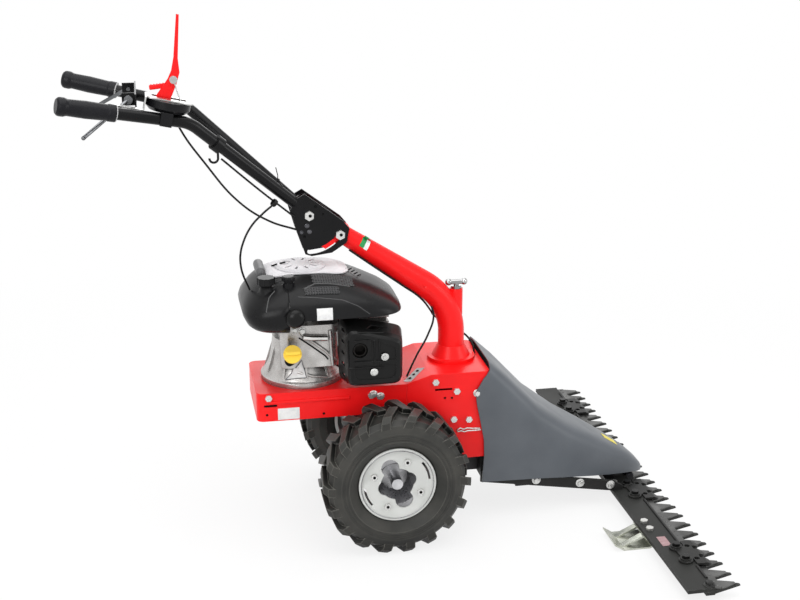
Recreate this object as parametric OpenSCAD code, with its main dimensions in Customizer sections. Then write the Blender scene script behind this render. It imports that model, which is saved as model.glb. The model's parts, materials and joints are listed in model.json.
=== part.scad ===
// Walk-behind sickle bar mower: a vertical-shaft engine on a two-wheeled chassis,
// a swivelling steering column with folding handlebars, and a finger bar in front.
// X points forward, Y to the left and Z up. The ground is Z = 0, and the origin
// lies on the ground midway between the finger tips and the ends of the grips.

/* [Wheels] */
// Overall diameter of a tyre
tyre_d = 330; // [310:1:350]
// Width of a tyre's tread
tyre_w = 112; // [100:1:120]
// Distance between the centre planes of the wheels
track = 370; // [366:1:420]
// Diameter over the rim's flanges
rim_d = 172; // [164:1:184]
// Diameter of the wheel axle
axle_d = 25; // [20:1:28]
// Number of lugs on each side of a tyre
lug_count = 18; // [12:1:20]

/* [Cutter bar] */
// Number of fingers on the comb
finger_count = 25; // [23:2:31]
// Distance from one finger to the next
finger_pitch = 45; // [42:1:50]
// Distance from the axle to the finger tips
tip_reach = 671; // [650:1:720]
// Length of a finger in front of the carrier plate
finger_l = 64; // [56:1:76]
// Depth of the carrier plate from front to back
plate_depth = 60; // [56:1:80]
// Thickness of the carrier plate
plate_t = 8; // [7:0.5:10]
// Height of the carrier plate's underside above the ground
plate_z = 26; // [24:1:34]

/* [Chassis] */
// Width of the engine tray and the gearbox cover
frame_w = 210; // [200:1:214]
// Distance from the axle back to the tray's rear face
tray_reach = 292; // [286:1:330]
// Height of the tray's top face
tray_z = 350; // [346:1:360]
// Depth of the tray's side panels
tray_h = 66; // [50:1:70]
// Distance from the axle to the gearbox cover's front face
cover_reach = 236; // [236:1:250]
// Height of the gearbox cover's top face
cover_z = 368; // [366:1:380]
// Thickness of the chassis sheet metal
sheet_t = 3; // [2:0.5:4]

/* [Engine] */
// Distance from the axle back to the crankshaft
engine_reach = 178; // [174:1:184]
// Diameter of the engine's mounting flange
flange_d = 188; // [176:1:196]
// Height of the shroud's top above the tray
engine_h = 256; // [250:1:275]
// Length of the engine's shroud and tank
shroud_l = 356; // [340:1:370]
// Width of the engine's shroud and tank
shroud_w = 308; // [296:1:330]

/* [Steering] */
// Distance from the axle to the column's swivel axis
column_reach = 168; // [166:1:172]
// Diameter of the column's upright tube
column_d = 60; // [54:1:64]
// Slope of the column's upper arm below the horizontal
column_slope = 34.5; // [32:0.5:38]
// Height of the handlebar's pivot bolt
pivot_z = 729; // [715:1:760]
// Distance from the axle back to the pivot bolt
pivot_reach = 158; // [150:1:170]
// Diameter of the handlebar tubes
handle_d = 25; // [22:1:28]
// Distance between the ends of the grips
grip_span = 338; // [320:1:420]
// Height of the grips' rear ends
grip_z = 1011; // [980:1:1040]
// Distance from the axle back to the rear ends of the grips
grip_reach = 667; // [640:1:700]

/* [Hood] */
// Width of the hood at the gearbox cover
hood_w = 224; // [222:1:240]
// Length of the hood from its rear edge to its nose
hood_l = 446; // [434:1:464]
// Height of the hood's ridge at its rear edge
hood_z = 400; // [396:1:420]
// Wall thickness of the hood
hood_t = 3; // [2:0.5:4]

/* [Hidden] */
$fn = 48;
over = 1;
seam_turn = 1;
// Straight length between a bend and a taper
taper_lead = 8;
fit = 0.05;
gap = 0.4;

// Bends of the handlebar tubes, which set the part's rear end
bend_lead = 259;
bend_reach = grip_reach - bend_lead;
bend_z = 956;
bend_half = 100;
grip_flange_r = 19;
grip_way = unit([grip_reach - bend_reach, bend_half - grip_span / 2, bend_z - grip_z]);
grip_back = grip_flange_r * sqrt(1 - grip_way.x * grip_way.x);

// Layout
axle_x = (grip_reach + grip_back - tip_reach) / 2;
axle_z = tyre_d / 2;
axle_r = axle_d / 2;
engine_x = axle_x - engine_reach;
column_x = axle_x + column_reach;
tip_x = axle_x + tip_reach;
cover_x = axle_x + cover_reach;
tray_x = axle_x - tray_reach;
half_frame = frame_w / 2;

// Tyre and rim
lug_h = 12;
lug_w = 20;
lug_lean = 28;
lug_chamfer = 10;
tyre_bulge = 5;
tyre_wall = 9;
bead_r = rim_d / 2 - 3;
bead_y = 40;
crown_r = tyre_d / 2 - lug_h;
shoulder_r = crown_r - tyre_wall;
lug_root_r = shoulder_r - 4 * tyre_bulge;
bulge_r = (bead_r + crown_r) / 2;
rim_lip_t = 4;
rim_half_w = bead_y + rim_lip_t;
rim_t = 3.5;
disc_y = 36;
disc_hole_r = 33;
lobe_r = 19;
wheel_bolt_count = 4;
wheel_bolt_pcd = 112;
wheel_bolt_r = 5;
wheel_head_r = 8;
wheel_head_h = 6;
wheel_bolt_turn = 67;
rim_slot_r = 5;
rim_slot_turn = 36;
rim_slot_start = 4;
rim_slot_pcd = 140;
hub_r = 23;
hub_flange_r = 66;
hub_flange_t = 7;
hub_dish_r = 50;
hub_dish_h = 38;
hub_floor_t = 8;
hub_pin_r = 4;
hub_pin_l = 58;
hub_pin_in = 36;
axle_out = 6;

// Gearbox
case_front = 222;
case_rear = 70;
case_half_w = 60;
case_wall = 8;
case_hollow_l = 188;
case_z0 = 105;
case_z1 = 285;
sleeve_r = 32;
sleeve_y = half_frame + 5;
bush_t = 6;
bush_l = 34;
worm_reach = 62;
worm_x = axle_x + worm_reach;
worm_wheel_r = 46;
worm_wheel_t = 24;
worm_teeth = 30;
tooth_h = 4;
worm_r = worm_reach - worm_wheel_r - gap;
worm_l = 60;
input_r = 11;
input_top = 340;
post_r = 34;
belt_z = 306;
belt_h = 14;
belt_t = 8;
belt_steps = 24;
engine_pulley_r = 45;
input_pulley_r = 58;
pulley_lip = 5;
pulley_t = 4;
crank_disc_r = 36;
crank_disc_t = 9;
knife_stroke = 22.5;
crank_pin_r = 8;
crank_pin_l = 2;
arm_gap = 0.6;

// Cutter bar
bar_half = finger_count * finger_pitch / 2;
plate_front = tip_x - finger_l;
plate_rear = plate_front - plate_depth;
plate_top = plate_z + plate_t;
comb_t = 8;
comb_base = 20;
finger_root_w = 38;
finger_tip_w = 6;
finger_tip_t = 2.5;
finger_drop = 1.5;
knife_gap = 0.5;
knife_t = 3;
knife_back_w = 17;
knife_back_t = 5;
knife_z = plate_z + 0.3;
section_base_w = 32;
section_tip_w = 7;
section_l = 52;
knife_end = 8;
clip_w = 100;
clip_t = 5;
clip_rear = 24;
clip_reach = 36;
clip_toe = 15;
clip_toe_w = 24;
clip_lobe_r = 15.5;
clip_boss_r = 12;
clip_boss_h = 4;
clip_window_r = 6;
clip_window_in = 7;
clip_place_shares = [-9.25, -2.25, 2.25, 9.25];
clip_bolt_span = 56;
clip_bolt_in = 18;
bar_bolt_r = 5;
bar_head_r = 9;
bar_head_h = 6;
skid_y = 276;
skid_w = 84;
skid_t = 4;
skid_l = 106;
skid_pad_l = 34;
skid_tail_h = 14;
skid_toe_h = 12;
skid_rise = 22;
skid_toe = 22;
skid_strap_w = 16;
skid_strap_y = 22;
skid_bolt_span = 36;

// Knife drive and bar support
rail_y = 88;
rail_t = 6;
rail_h = 26;
rail_rear_z = 99;
rail_front_z = 47;
support_t = 8;
support_top = 160;
foot_depth = 26;
foot_t = 5;
swing_reach = 330;
swing_x = axle_x + swing_reach;
swing_post_r = 10;
swing_hub_r = 20;
swing_cross_z = 66;
swing_cross_t = 8;
swing_cross_w = 44;
swing_flat = 28;
swing_hub_h = 24;
swing_arm_t = 10;
swing_tip_t = 6;
swing_tip_gap = 1;
swing_arm_w = 26;
fork_w = 44;
fork_slot_w = 18;
fork_l = 64;
fork_slot_l = 48;
head_l = 40;
head_h = 7;
head_pin_r = 7;
head_slot = 3;
head_clear = 0.3;
swing_tip_z = plate_top + foot_t + swing_tip_gap;

// Tray and cover
tray_front = 44;
tray_corner = 16;
tray_hole_r = 70;
bead_rib_r = 4;
bead_rib_x0 = 264;
bead_rib_x1 = 86;
bead_rib_drop = 22;
tray_slot_l = 28;
tray_slot_h = 5;
tray_slot_x = 276;
tray_slot_drop = 32;
deck_x = 100;
cover_corner = 12;
cover_low_z = 158;
cover_low_x = 120;
cover_step_x = 70;
cover_step_z = 230;
cover_slot_x = 109;
cover_slot_l = 40;
cover_slot_h = 5;
cover_slot_z = 328;
frame_bolt_r = 4;
frame_head_r = 8;
frame_head_h = 5;
tray_bolt_shares = [[0.91, 0.15], [0.127, 0.3]];
cover_bolt_shares = [[0.466, 0.914], [0.674, 0.795], [0.648, 0.471], [0.797, 0.457]];
tray_bolts = [for (s = tray_bolt_shares) [axle_x - tray_reach * s.x, tray_z - tray_h * s.y]];
cover_bolts = [for (s = cover_bolt_shares)
    [axle_x + cover_reach * s.x, cover_low_z + (cover_z - cover_low_z) * s.y]];

// Engine castings
flange_t = 14;
bell_h = 100;
bell_shares = [[1, 0], [1, 0.11], [0.95, 0.15], [0.88, 0.25], [0.8, 0.42], [0.74, 0.66], [0.7, 1]];
block_rear = 54;
block_front = 75;
block_w = 160;
block_z0 = 396;
block_z1 = 494;
block_r = 18;
web_count = 10;
web_t = 5;
web_share = 0.33;
crank_r = 12.5;
crank_top = 596;
crank_low = 298;
neck_r = 13;
neck_l = 46;
neck_root = 23;
neck_x = 212;
neck_y = 78;
neck_z = 418;
neck_tilt = 58;
oil_cap_r = 20;
oil_cap_h = 16;
oil_cap_grip_t = 7;
cyl_l = 112;
cyl_w = 116;
cyl_z0 = 402;
cyl_z1 = 512;
cyl_core_w = 84;
fin_count = 9;
fin_t = 3;
flywheel_r = 84;
flywheel_z = 548;
flywheel_t = 14;
blade_count = 14;
blade_h = 20;
blade_l = 30;
blade_t = 3;
guard_x0 = 108;
guard_x1 = 34;
guard_y0 = 96;
guard_y1 = 164;
guard_z0 = 365;
guard_z1 = 519;
guard_t = 2.5;
// Depth and narrowing of the guard's rings, from its open back to its front
guard_shares = [[0, 0], [0.7, 0.45], [0.92, 0.7], [1, 1]];
guard_taper = 16;
guard_slant = 15;
guard_round = 8;
guard_sides = 40;
guard_frame = 9;
guard_recess = 3;
guard_rib_h = 9;
guard_rib_z = 424;
guard_box = 46;
guard_slots = 5;
guard_slot_h = 7;
outlet_x = 70;
outlet_z = 459;
outlet_r = 17;
muffler_in = 12;
pipe_r = 14;
filter_x0 = 150;
filter_x1 = 40;
filter_y0 = block_w / 2 + gap;
filter_in = 8;
filter_y1 = shroud_w / 2 - filter_in;
filter_z0 = 440;
filter_z1 = 522;
filter_r = 14;
screw_r = 7;
screw_h = 5;
guard_screw_shares = [[0.65, 0.49], [0.48, 0.275]];
guard_screws = [for (s = guard_screw_shares)
    [axle_x - guard_x0 + (guard_x0 + guard_x1) * s.x, guard_z0 + (guard_z1 - guard_z0) * s.y]];

// Shroud, tank and starter
shroud_mid = 138;
shroud_x = axle_x - shroud_mid;
shroud_t = 3;
shroud_low = 497;
shroud_skirt = 530;
shroud_top = tray_z + engine_h;
// Height, length, width, shift, and roundness on the near and the far side, ring by ring
shroud_shares = [[0, 0.857, 0.83, -0.001, 5.5, 3], [0.12, 0.961, 0.96, 0.008, 5.5, 3],
                 [0.38, 0.98, 1, -0.01, 5, 2.8], [0.62, 0.84, 0.95, -0.049, 3.6, 2.3],
                 [0.81, 0.68, 0.78, -0.081, 3, 2.2], [0.94, 0.522, 0.56, -0.087, 2.6, 2.2],
                 [1, 0.404, 0.4, -0.084, 2.4, 2.2]];
shroud_steps = 2;
shroud_sides = 48;
tank_share = 0.225;
tank_split = shroud_mid + shroud_l * tank_share;
tank_back = shroud_mid + shroud_l / 2;
tank_wall_r = 94;
tank_gap = 0.6;
fuel_in = 54;
fuel_x = tank_back - fuel_in;
fuel_y = 92;
fuel_neck_r = 13;
fuel_neck_top = 598;
fuel_cap_r = 18;
fuel_cap_h = 16;
fuel_ribs = 10;
starter_r = 56;
starter_t = 8;
starter_rim_t = 4;
starter_brow_r = 48;
starter_brow_t = 7;
trim_t = 2;
trim_half = 60;
trim_corner_r = 40;
trim_rear_share = 0.36;
trim_front_share = 0.18;
starter_hub_r = 20;
starter_slots = 10;
starter_slot_w = 5;
pull_in = 48;
pull_x = tank_back - pull_in;
pull_r = 11;
pull_l = 64;
pull_z = 608;
notch_l = 100;
cap_recess_r = 22;
cap_recess_h = 4;

// Column
column_r = column_d / 2;
column_wall = 4;
column_bend_r = 140;
column_flange_r = 55;
column_flange_t = 8;
column_cone_r = 44;
column_cone_h = 26;
spigot_r = 20;
spigot_l = 6;
head_r = 22;
head_half = 22;
head_reach = 96;
arm_end_r = 20.5;
arm_lap = 4;
lock_offset = 11;
lock_x = column_x + lock_offset;
stub_r = 15;
stub_l = 62;
stub_top = 535;
lock_r = 6;
lock_top = 550;
lock_bar_r = 6;
lock_bar_l = 36;
lock_knob_r = 8;
lock_collar_r = 12;
lock_collar_h = 6;

// Handlebar bracket
bracket_gap = 0.3;
bracket_t = 4;
slot_reach = 82;
slot_travel = 55;
handle_bolt_r = 6;
handle_head_r = 11;
handle_head_h = 7;
bolt_clear = 0.3;

// Handlebar tubes
handle_r = handle_d / 2;
handle_wall = 2.5;
handle_bend_r = 80;
tube_end = 34;
tube_end_half = 13.5;
tie_r = 8;
grip_l = 118;
grip_flange_l = 12;
grip_shares = [[0, 0.78], [0.03, 0.95], [0.06, 1], [0.13, 1], [0.19, 0.88], [0.5, 0.94],
    [0.86, 0.87], [0.89, 0.93], [1, 0.93]];
grip_grooves = 4;
grip_groove_r = 9;
grip_groove_h = 2;

// Controls
console_lead = 215;
console_x = grip_reach - console_lead;
console_y = 84;
console_z = 979;
console_r = 46;
console_h = 24;
console_wall = 3;
gate_t = 3;
gate_l = 98;
gate_w = 62;
foot_share = 0.64;
gate_slot_l = 72;
gate_slot_w = 22;
handle_tilt = 12.5;
saddle_w = 24;
lever_w = 26;
lever_t = 5;
lever_top = 196;
lever_pin_r = 4;
wire_r = 1.5;
wire_reach = 26;
bracket_lead = 152;
bracket_x = grip_reach - bracket_lead;
bracket_w = 172;
cheek_l = 26;
cheek_t = 3;
cheek_y = 64;
strap_h = 14;
clutch_z = 1002;
clutch_r = 4;
clutch_hub_r = 9;
clutch_hub_l = 12;
clutch_pin_r = 4;
clutch_tip_lead = 48;
clutch_tip_reach = grip_reach - clutch_tip_lead;
clutch_tip_half = 150;
clutch_tip_z = 942;
clutch_ball_r = 4.5;
hook_lead = 56;
hook_x = bend_reach - hook_lead;
hook_drop = 30;
hook_r = 9;
hook_t = 5;

// Hood
hood_reach = 202;
hood_x = axle_x + hood_reach;
hood_x_shares = [0, 0.06, 0.18, 0.35, 0.52, 0.66, 0.76, 0.85, 0.91, 0.96, 0.99, 1];
hood_top_shares = [1, 0.98, 0.86, 0.66, 0.52, 0.43, 0.36, 0.295, 0.245, 0.195, 0.155, 0.135];
hood_w_shares = [1, 1, 1, 0.975, 0.885, 0.76, 0.64, 0.5, 0.375, 0.24, 0.11, 0.05];
hood_low_shares = [0.238, 0.238, 0.236, 0.228, 0.208, 0.186, 0.168, 0.15, 0.136, 0.12, 0.108, 0.105];
hood_round_shares = [1, 1, 0.8, 0.6, 0.5, 0.45, 0.42, 0.4, 0.38, 0.36, 0.36, 0.36];
hood_round = 10;
hood_sides = 28;
// Rear edge beside the cover, as shares of the hood's length and height
hood_edge_shares = [[0.076, 0.92], [0.04, 0.875], [0, 0.8], [0.007, 0.725], [0.025, 0.63], [0.047, 0.505],
                    [0.05, 0.41], [0.04, 0.2]];

// Cables
cable_r = 3;
cable_steps = 3;
clutch_route = [[-bend_reach - 32, -68, 974], [-bend_reach - 20, -66, 940], [-380, -64, 864],
                [-309, -54, 772], [-245, -40, 724], [-188, -29.8, 700]];
rope_route = [[-345, -72, 872], [-265, -52, 796], [-190, -29.8, 728]];
engine_route = [[20.8 - tank_back, -60, 578], [6 - tank_back, -60, 622], [-314, -60, 655], [-308, -60, 688],
                [-289, -60, 723], [-263, -58, 746], [-236, -50, 764]];
column_route = [[-69, -14.5, 643], [-13, -16, 601], [51, -18, 554], [91, -17, 523], [120, 0, 484],
                [128, 12, 470], [141, 24.5, 455], [149, 29, 438]];
hood_route = [[155.4, 31, 430], [180, 39, 424], [206, 32, 412], [222, 16, 392], [227, 8, 369]];
deck_route = [[116, -26, 504], [120, -32, 483], [104, -45, 442], [76, -60, 401], [50, -72, 355]];

// Places shared by pieces that meet
disc_top = case_z0 - gap;
head_x = plate_front + knife_gap + knife_back_w / 2;
head_floor = knife_z + knife_back_t + head_slot + gap;
crank_throw = knife_stroke * (swing_x - worm_x) / (head_x - swing_x);
finger_nose = 14;
foot_bolt_y = 62;
clip_bolt_places = [for (c = clip_place_shares, s = [-1, 1])
    [plate_front - clip_bolt_in, c * finger_pitch + s * clip_bolt_span / 2]];
skid_bolt_places = [for (y = [-skid_y, skid_y], s = [-1, 1])
    [plate_rear + skid_pad_l / 2, y + s * skid_bolt_span / 2]];
foot_bolt_places = [for (s = [-1, 1]) [plate_rear + foot_depth / 2, s * foot_bolt_y]];
bar_bolt_places = concat(clip_bolt_places, skid_bolt_places, foot_bolt_places);
lever_axis = [-12, 10];
lever_knee = [2, 66];
lever_shares = [[-1.08, 0.04], [0, 0.04], [0.38, 0.3], [0.46, 0.42], [0.14, 0.56], [-0.34, 1], [-0.56, 1],
                [-0.2, 0.56], [-0.2, 0.42], [-0.36, 0.33], [-1.08, 0.12]];
bracket_shares = [[-0.34, 0.46], [-0.11, 0.585], [0.92, -0.2], [1.08, -0.4], [1, -0.8], [0.6, -1.06],
                  [0.05, -1.13], [-0.12, -1.07], [-0.34, -0.41], [-0.5, 0.16]];

// Directions and points along the handlebar tubes
function unit(v) = v / norm(v);
function flip(v, side) = [v.x, v.y * side, v.z];
pivot = [axle_x - pivot_reach, 0, pivot_z];
grip_end = [axle_x - grip_reach, grip_span / 2, grip_z];
tube_bend = [axle_x - bend_reach, bend_half, bend_z];
tube_way = unit([tube_bend.x - pivot.x, 0, tube_bend.z - pivot.z]);
tube_foot = [pivot.x + tube_way.x * tube_end, tube_end_half, pivot.z + tube_way.z * tube_end];

// Straight bar between two points, tapering if its end radius differs
module bar(a, b, r, r_end = undef) {
    d = b - a;
    translate(a)
        rotate([0, acos(d.z / norm(d)), atan2(d.y, d.x)])
            cylinder(h = norm(d), r1 = r, r2 = is_undef(r_end) ? r : r_end);
}

// Bar from a to c with a bend of the given radius at corner b, tapering after the bend;
// the bend runs a little way into both straights
module bent_bar(a, b, c, bend, r, r_end = undef) {
    u = unit(b - a);
    v = unit(c - b);
    turn = acos(u * v);
    n = unit(v - u * (u * v));
    w = cross(u, n);
    t = bend * tan(turn / 2);
    o = b - u * t + n * bend;
    bar(a, b - u * t, r);
    multmatrix([[-n.x, u.x, w.x, o.x], [-n.y, u.y, w.y, o.y], [-n.z, u.z, w.z, o.z], [0, 0, 0, 1]])
        rotate(-seam_turn) rotate_extrude(angle = turn + 2 * seam_turn) translate([bend, 0]) circle(r - fit);
    lead = is_undef(r_end) ? 0 : taper_lead;
    if (lead > 0) bar(b + v * t, b + v * (t + lead), r);
    bar(b + v * (t + lead), c, r, r_end);
}

// Outline in the XZ plane, extruded to both sides of Y = 0
module side_plate(points, w) {
    rotate([90, 0, 0]) linear_extrude(height = w, center = true) polygon(points);
}

// Cylinder along Y, centred on its middle
module cross_pin(r, l) {
    rotate([90, 0, 0]) cylinder(h = l, r = r, center = true);
}

// Rectangle with round corners, from one corner to the opposite one
module round_rect(p0, p1, r) {
    translate([p0.x + r, p0.y]) square([p1.x - p0.x - 2 * r, p1.y - p0.y]);
    translate([p0.x, p0.y + r]) square([p1.x - p0.x, p1.y - p0.y - 2 * r]);
    for (x = [p0.x + r, p1.x - r], y = [p0.y + r, p1.y - r]) translate([x, y]) circle(r);
}

// Skin through a list of rings of equally many points
module loft(rings) {
    n = len(rings[0]);
    last = (len(rings) - 1) * n;
    polyhedron(
        points = [for (r = rings) each r],
        faces = concat(
            [[for (j = [0 : n - 1]) j]],
            [for (i = [0 : len(rings) - 2], j = [0 : n - 1])
                each [[i * n + j, (i + 1) * n + j, (i + 1) * n + (j + 1) % n],
                      [i * n + j, (i + 1) * n + (j + 1) % n, i * n + (j + 1) % n]]],
            [[for (j = [n - 1 : -1 : 0]) last + j]]));
}

// Power of a sine or cosine that keeps its sign, for rounded-off box sections
function bow(v, n) = sign(v) * pow(abs(v), 2 / n);

// Round cable swept along a smooth curve through its route points
function spline(p, i, t) =
    let (a = p[max(i - 1, 0)], b = p[i], c = p[i + 1], d = p[min(i + 2, len(p) - 1)])
    0.5 * (2 * b + (c - a) * t + (2 * a - 5 * b + 4 * c - d) * t * t + (3 * b - a - 3 * c + d) * t * t * t);
function smooth(p, steps) = concat(
    [for (i = [0 : len(p) - 2], k = [0 : steps - 1]) spline(p, i, k / steps)], [p[len(p) - 1]]);
module cable(route, r, steps) {
    line = smooth(route, steps);
    sides = 8;
    up = [0, 0.3, 0.95];
    loft([for (i = [0 : len(line) - 1])
        let (t = unit(line[min(i + 1, len(line) - 1)] - line[max(i - 1, 0)]),
             e = unit(cross(t, up)), f = cross(t, e))
        [for (k = [0 : sides - 1]) line[i] + r * (e * cos(360 * k / sides) + f * sin(360 * k / sides))]]);
}

// Bolt along Z: head on top of a shank that runs down through the given depth
module bolt(r, head_r, head_h, depth) {
    cylinder(h = head_h, r = head_r, $fn = 6);
    translate([0, 0, -depth]) cylinder(h = depth + over, r = r);
}

// WHEELS

// Puts a wheel piece in place with its Z axis pointing outwards
module at_wheel(side) {
    translate([axle_x, side * track / 2, axle_z]) rotate([side > 0 ? -90 : 90, 0, 0]) children();
}

module tyre_section() {
    half = tyre_w / 2;
    outer = [[bead_r, bead_y], [rim_d / 2 + gap, bead_y], [bulge_r - tyre_wall, half + tyre_bulge],
             [bulge_r + tyre_wall, half + tyre_bulge], [shoulder_r, half - tyre_bulge / 2],
             [crown_r, half - 3 * tyre_bulge]];
    inner = [[bead_r, bead_y - tyre_wall], [bulge_r, half + tyre_bulge - tyre_wall],
             [crown_r - tyre_wall, half - 4 * tyre_bulge]];
    polygon(concat(
        outer, [for (i = [len(outer) - 1 : -1 : 0]) [outer[i].x, -outer[i].y]],
        [for (p = inner) [p.x, -p.y]], [for (i = [len(inner) - 1 : -1 : 0]) inner[i]]));
}

module lug_section() {
    half = tyre_w / 2;
    rim = [[shoulder_r - 3 * tyre_bulge, half], [tyre_d / 2 - lug_chamfer, half],
           [tyre_d / 2, half - lug_chamfer]];
    polygon(concat(
        [[crown_r - tyre_bulge, half - 4 * tyre_bulge]], rim,
        [for (i = [2 : -1 : 0]) [rim[i].x, -rim[i].y]],
        [[crown_r - tyre_bulge, -half + 4 * tyre_bulge]]));
}

module lug() {
    rotate([90, 0, 90]) translate([0, 0, lug_root_r])
        linear_extrude(height = tyre_d / 2 + over - lug_root_r)
            polygon([[-lug_w / 2, -lug_w / 4], [lug_w / 2, -lug_w / 4],
                     [lug_lean + lug_w / 2, tyre_w / 2 + over], [lug_lean - lug_w / 2, tyre_w / 2 + over]]);
}

module tyre(side) {
    color("#2d2e30") at_wheel(side) {
        rotate_extrude($fn = 96) tyre_section();
        for (row = [0, 1]) intersection() {
            rotate_extrude($fn = 96) lug_section();
            mirror([0, 0, row])
                for (k = [0 : lug_count - 1]) rotate(360 / lug_count * (k + row / 2) - 90) lug();
        }
    }
}

module rim(side) {
    seat_r = bead_r - gap;
    color("#c9cdd0") at_wheel(side) difference() {
        union() {
            rotate_extrude() {
                translate([seat_r - rim_t, -rim_half_w]) square([rim_t, 2 * rim_half_w]);
                for (y = [-rim_half_w, bead_y + gap])
                    translate([seat_r - rim_t, y]) square([rim_d / 2 - seat_r + rim_t, rim_lip_t - gap]);
            }
            translate([0, 0, disc_y]) cylinder(h = rim_t, r = seat_r - rim_t / 2);
        }
        translate([0, 0, disc_y - over]) linear_extrude(height = rim_t + 2 * over) {
            circle(disc_hole_r);
            for (k = [0 : wheel_bolt_count - 1]) rotate(360 / wheel_bolt_count * k + wheel_bolt_turn) {
                translate([wheel_bolt_pcd / 2, 0]) circle(wheel_bolt_r + gap);
                rotate(180 / wheel_bolt_count) translate([disc_hole_r, 0]) circle(lobe_r);
            }
        }
        for (turn = [0, 180]) rotate(rim_slot_start + turn) translate([0, 0, disc_y - over])
            rotate_extrude(angle = rim_slot_turn)
                translate([rim_slot_pcd / 2, 0]) square([rim_slot_r, rim_t + 2 * over]);
    }
}

// Barrel that opens into a dish, with the flange that carries the rim
module wheel_hub(side) {
    inner_end = track / 2 - sleeve_y - over;
    floor_z = disc_y - hub_dish_h;
    color("#4a4d50") at_wheel(side) difference() {
        rotate_extrude() polygon([
            [axle_r + fit, -inner_end], [hub_r, -inner_end], [hub_r, floor_z - hub_floor_t],
            [hub_dish_r + hub_flange_t, disc_y - hub_flange_t], [hub_flange_r, disc_y - hub_flange_t],
            [hub_flange_r, disc_y], [hub_dish_r, disc_y], [hub_r + hub_flange_t, floor_z],
            [axle_r + fit, floor_z]]);
        translate([0, 0, -hub_pin_in]) cross_pin(hub_pin_r + fit, 4 * hub_r);
        for (k = [0 : wheel_bolt_count - 1]) rotate(360 / wheel_bolt_count * k + wheel_bolt_turn)
            translate([wheel_bolt_pcd / 2, 0, disc_y - 2 * hub_flange_t])
                cylinder(h = 3 * hub_flange_t, r = wheel_bolt_r + fit);
    }
}

// Wheel bolts, and the pins that key the hubs to the axle
module wheel_fasteners() {
    color("#d5d7d8") for (side = [-1, 1]) at_wheel(side) {
        for (k = [0 : wheel_bolt_count - 1]) rotate(360 / wheel_bolt_count * k + wheel_bolt_turn)
            translate([wheel_bolt_pcd / 2, 0, disc_y + rim_t])
                bolt(wheel_bolt_r, wheel_head_r, wheel_head_h, rim_t + hub_flange_t);
        translate([0, 0, -hub_pin_in]) cross_pin(hub_pin_r, hub_pin_l);
    }
}

module wheel_axle() {
    color("#9a9ea2") translate([axle_x, 0, axle_z]) difference() {
        cross_pin(axle_r, track + 2 * (disc_y + axle_out));
        for (side = [-1, 1]) translate([0, side * (track / 2 - hub_pin_in), 0])
            cylinder(h = 4 * axle_r, r = hub_pin_r + fit, center = true);
    }
}

// GEARBOX

module gearbox_casing() {
    post_top = cover_z - sheet_t - gap;
    color("#3a3c3f") difference() {
        union() {
            translate([axle_x - case_rear, -case_half_w, case_z0])
                cube([case_front + case_rear, 2 * case_half_w, case_z1 - case_z0]);
            translate([axle_x, 0, axle_z]) cross_pin(sleeve_r, 2 * sleeve_y);
            translate([column_x, 0, case_z0]) cylinder(h = post_top - case_z0, r = post_r);
        }
        translate([axle_x - case_rear + case_wall, -case_half_w + case_wall, case_z0 + case_wall])
            cube([case_hollow_l, 2 * (case_half_w - case_wall), case_z1 - case_z0 - 2 * case_wall]);
        translate([axle_x, 0, axle_z]) cross_pin(axle_r + bush_t + fit, 2 * sleeve_y + 2 * over);
        translate([worm_x, 0, case_z0 - over]) cylinder(h = case_z1 - case_z0 + 2 * over, r = input_r + fit);
        translate([column_x, 0, post_top - spigot_l]) cylinder(h = spigot_l + over, r = spigot_r + fit);
    }
}

module axle_bushes() {
    color("#b08d4a") for (side = [-1, 1])
        translate([axle_x, side * (sleeve_y - bush_l / 2), axle_z]) difference() {
            cross_pin(axle_r + bush_t, bush_l);
            cross_pin(axle_r + fit, bush_l + 2 * over);
        }
}

module worm_wheel() {
    color("#b8924c") translate([axle_x, 0, axle_z]) rotate([90, 0, 0]) difference() {
        union() {
            translate([0, 0, -worm_wheel_t / 2]) cylinder(h = worm_wheel_t, r = worm_wheel_r - tooth_h);
            for (k = [0 : worm_teeth - 1]) rotate(360 / worm_teeth * k) worm_tooth();
        }
        translate([0, 0, -worm_wheel_t]) cylinder(h = 2 * worm_wheel_t, r = axle_r + fit);
    }
}

module worm_tooth() {
    root = worm_wheel_r - tooth_h;
    arc = 2 * PI * root / worm_teeth;
    linear_extrude(height = worm_wheel_t, center = true)
        polygon([[root - tooth_h, -arc / 3], [root, -arc / 3], [worm_wheel_r, -arc / 6],
                 [worm_wheel_r, arc / 6], [root, arc / 3], [root - tooth_h, arc / 3]]);
}

module input_shaft() {
    color("#9a9ea2") translate([worm_x, 0, 0]) {
        translate([0, 0, disc_top]) cylinder(h = input_top - disc_top, r = input_r);
        translate([0, 0, axle_z - worm_l / 2]) cylinder(h = worm_l, r = worm_r);
    }
}

module crank_disc() {
    color("#6d7074") translate([worm_x, 0, disc_top - crank_disc_t]) {
        cylinder(h = crank_disc_t, r = crank_disc_r);
        translate([crank_throw, 0, -crank_pin_l]) cylinder(h = crank_pin_l + over, r = crank_pin_r);
    }
}

// Flat-belt pulley with two lips, bored for its shaft
module pulley(r, bore) {
    lip_r = r + pulley_lip;
    difference() {
        union() {
            cylinder(h = belt_h + 2 * gap, r = r);
            for (z = [-pulley_t, belt_h + 2 * gap]) translate([0, 0, z]) cylinder(h = pulley_t, r = lip_r);
        }
        translate([0, 0, -pulley_t - over]) cylinder(h = belt_h + 2 * pulley_t + 4 * over, r = bore + fit);
    }
}

module engine_pulley() {
    color("#8e9296") translate([engine_x, 0, belt_z - gap]) pulley(engine_pulley_r, crank_r);
}

module input_pulley() {
    color("#8e9296") translate([worm_x, 0, belt_z - gap]) pulley(input_pulley_r, input_r);
}

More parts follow.
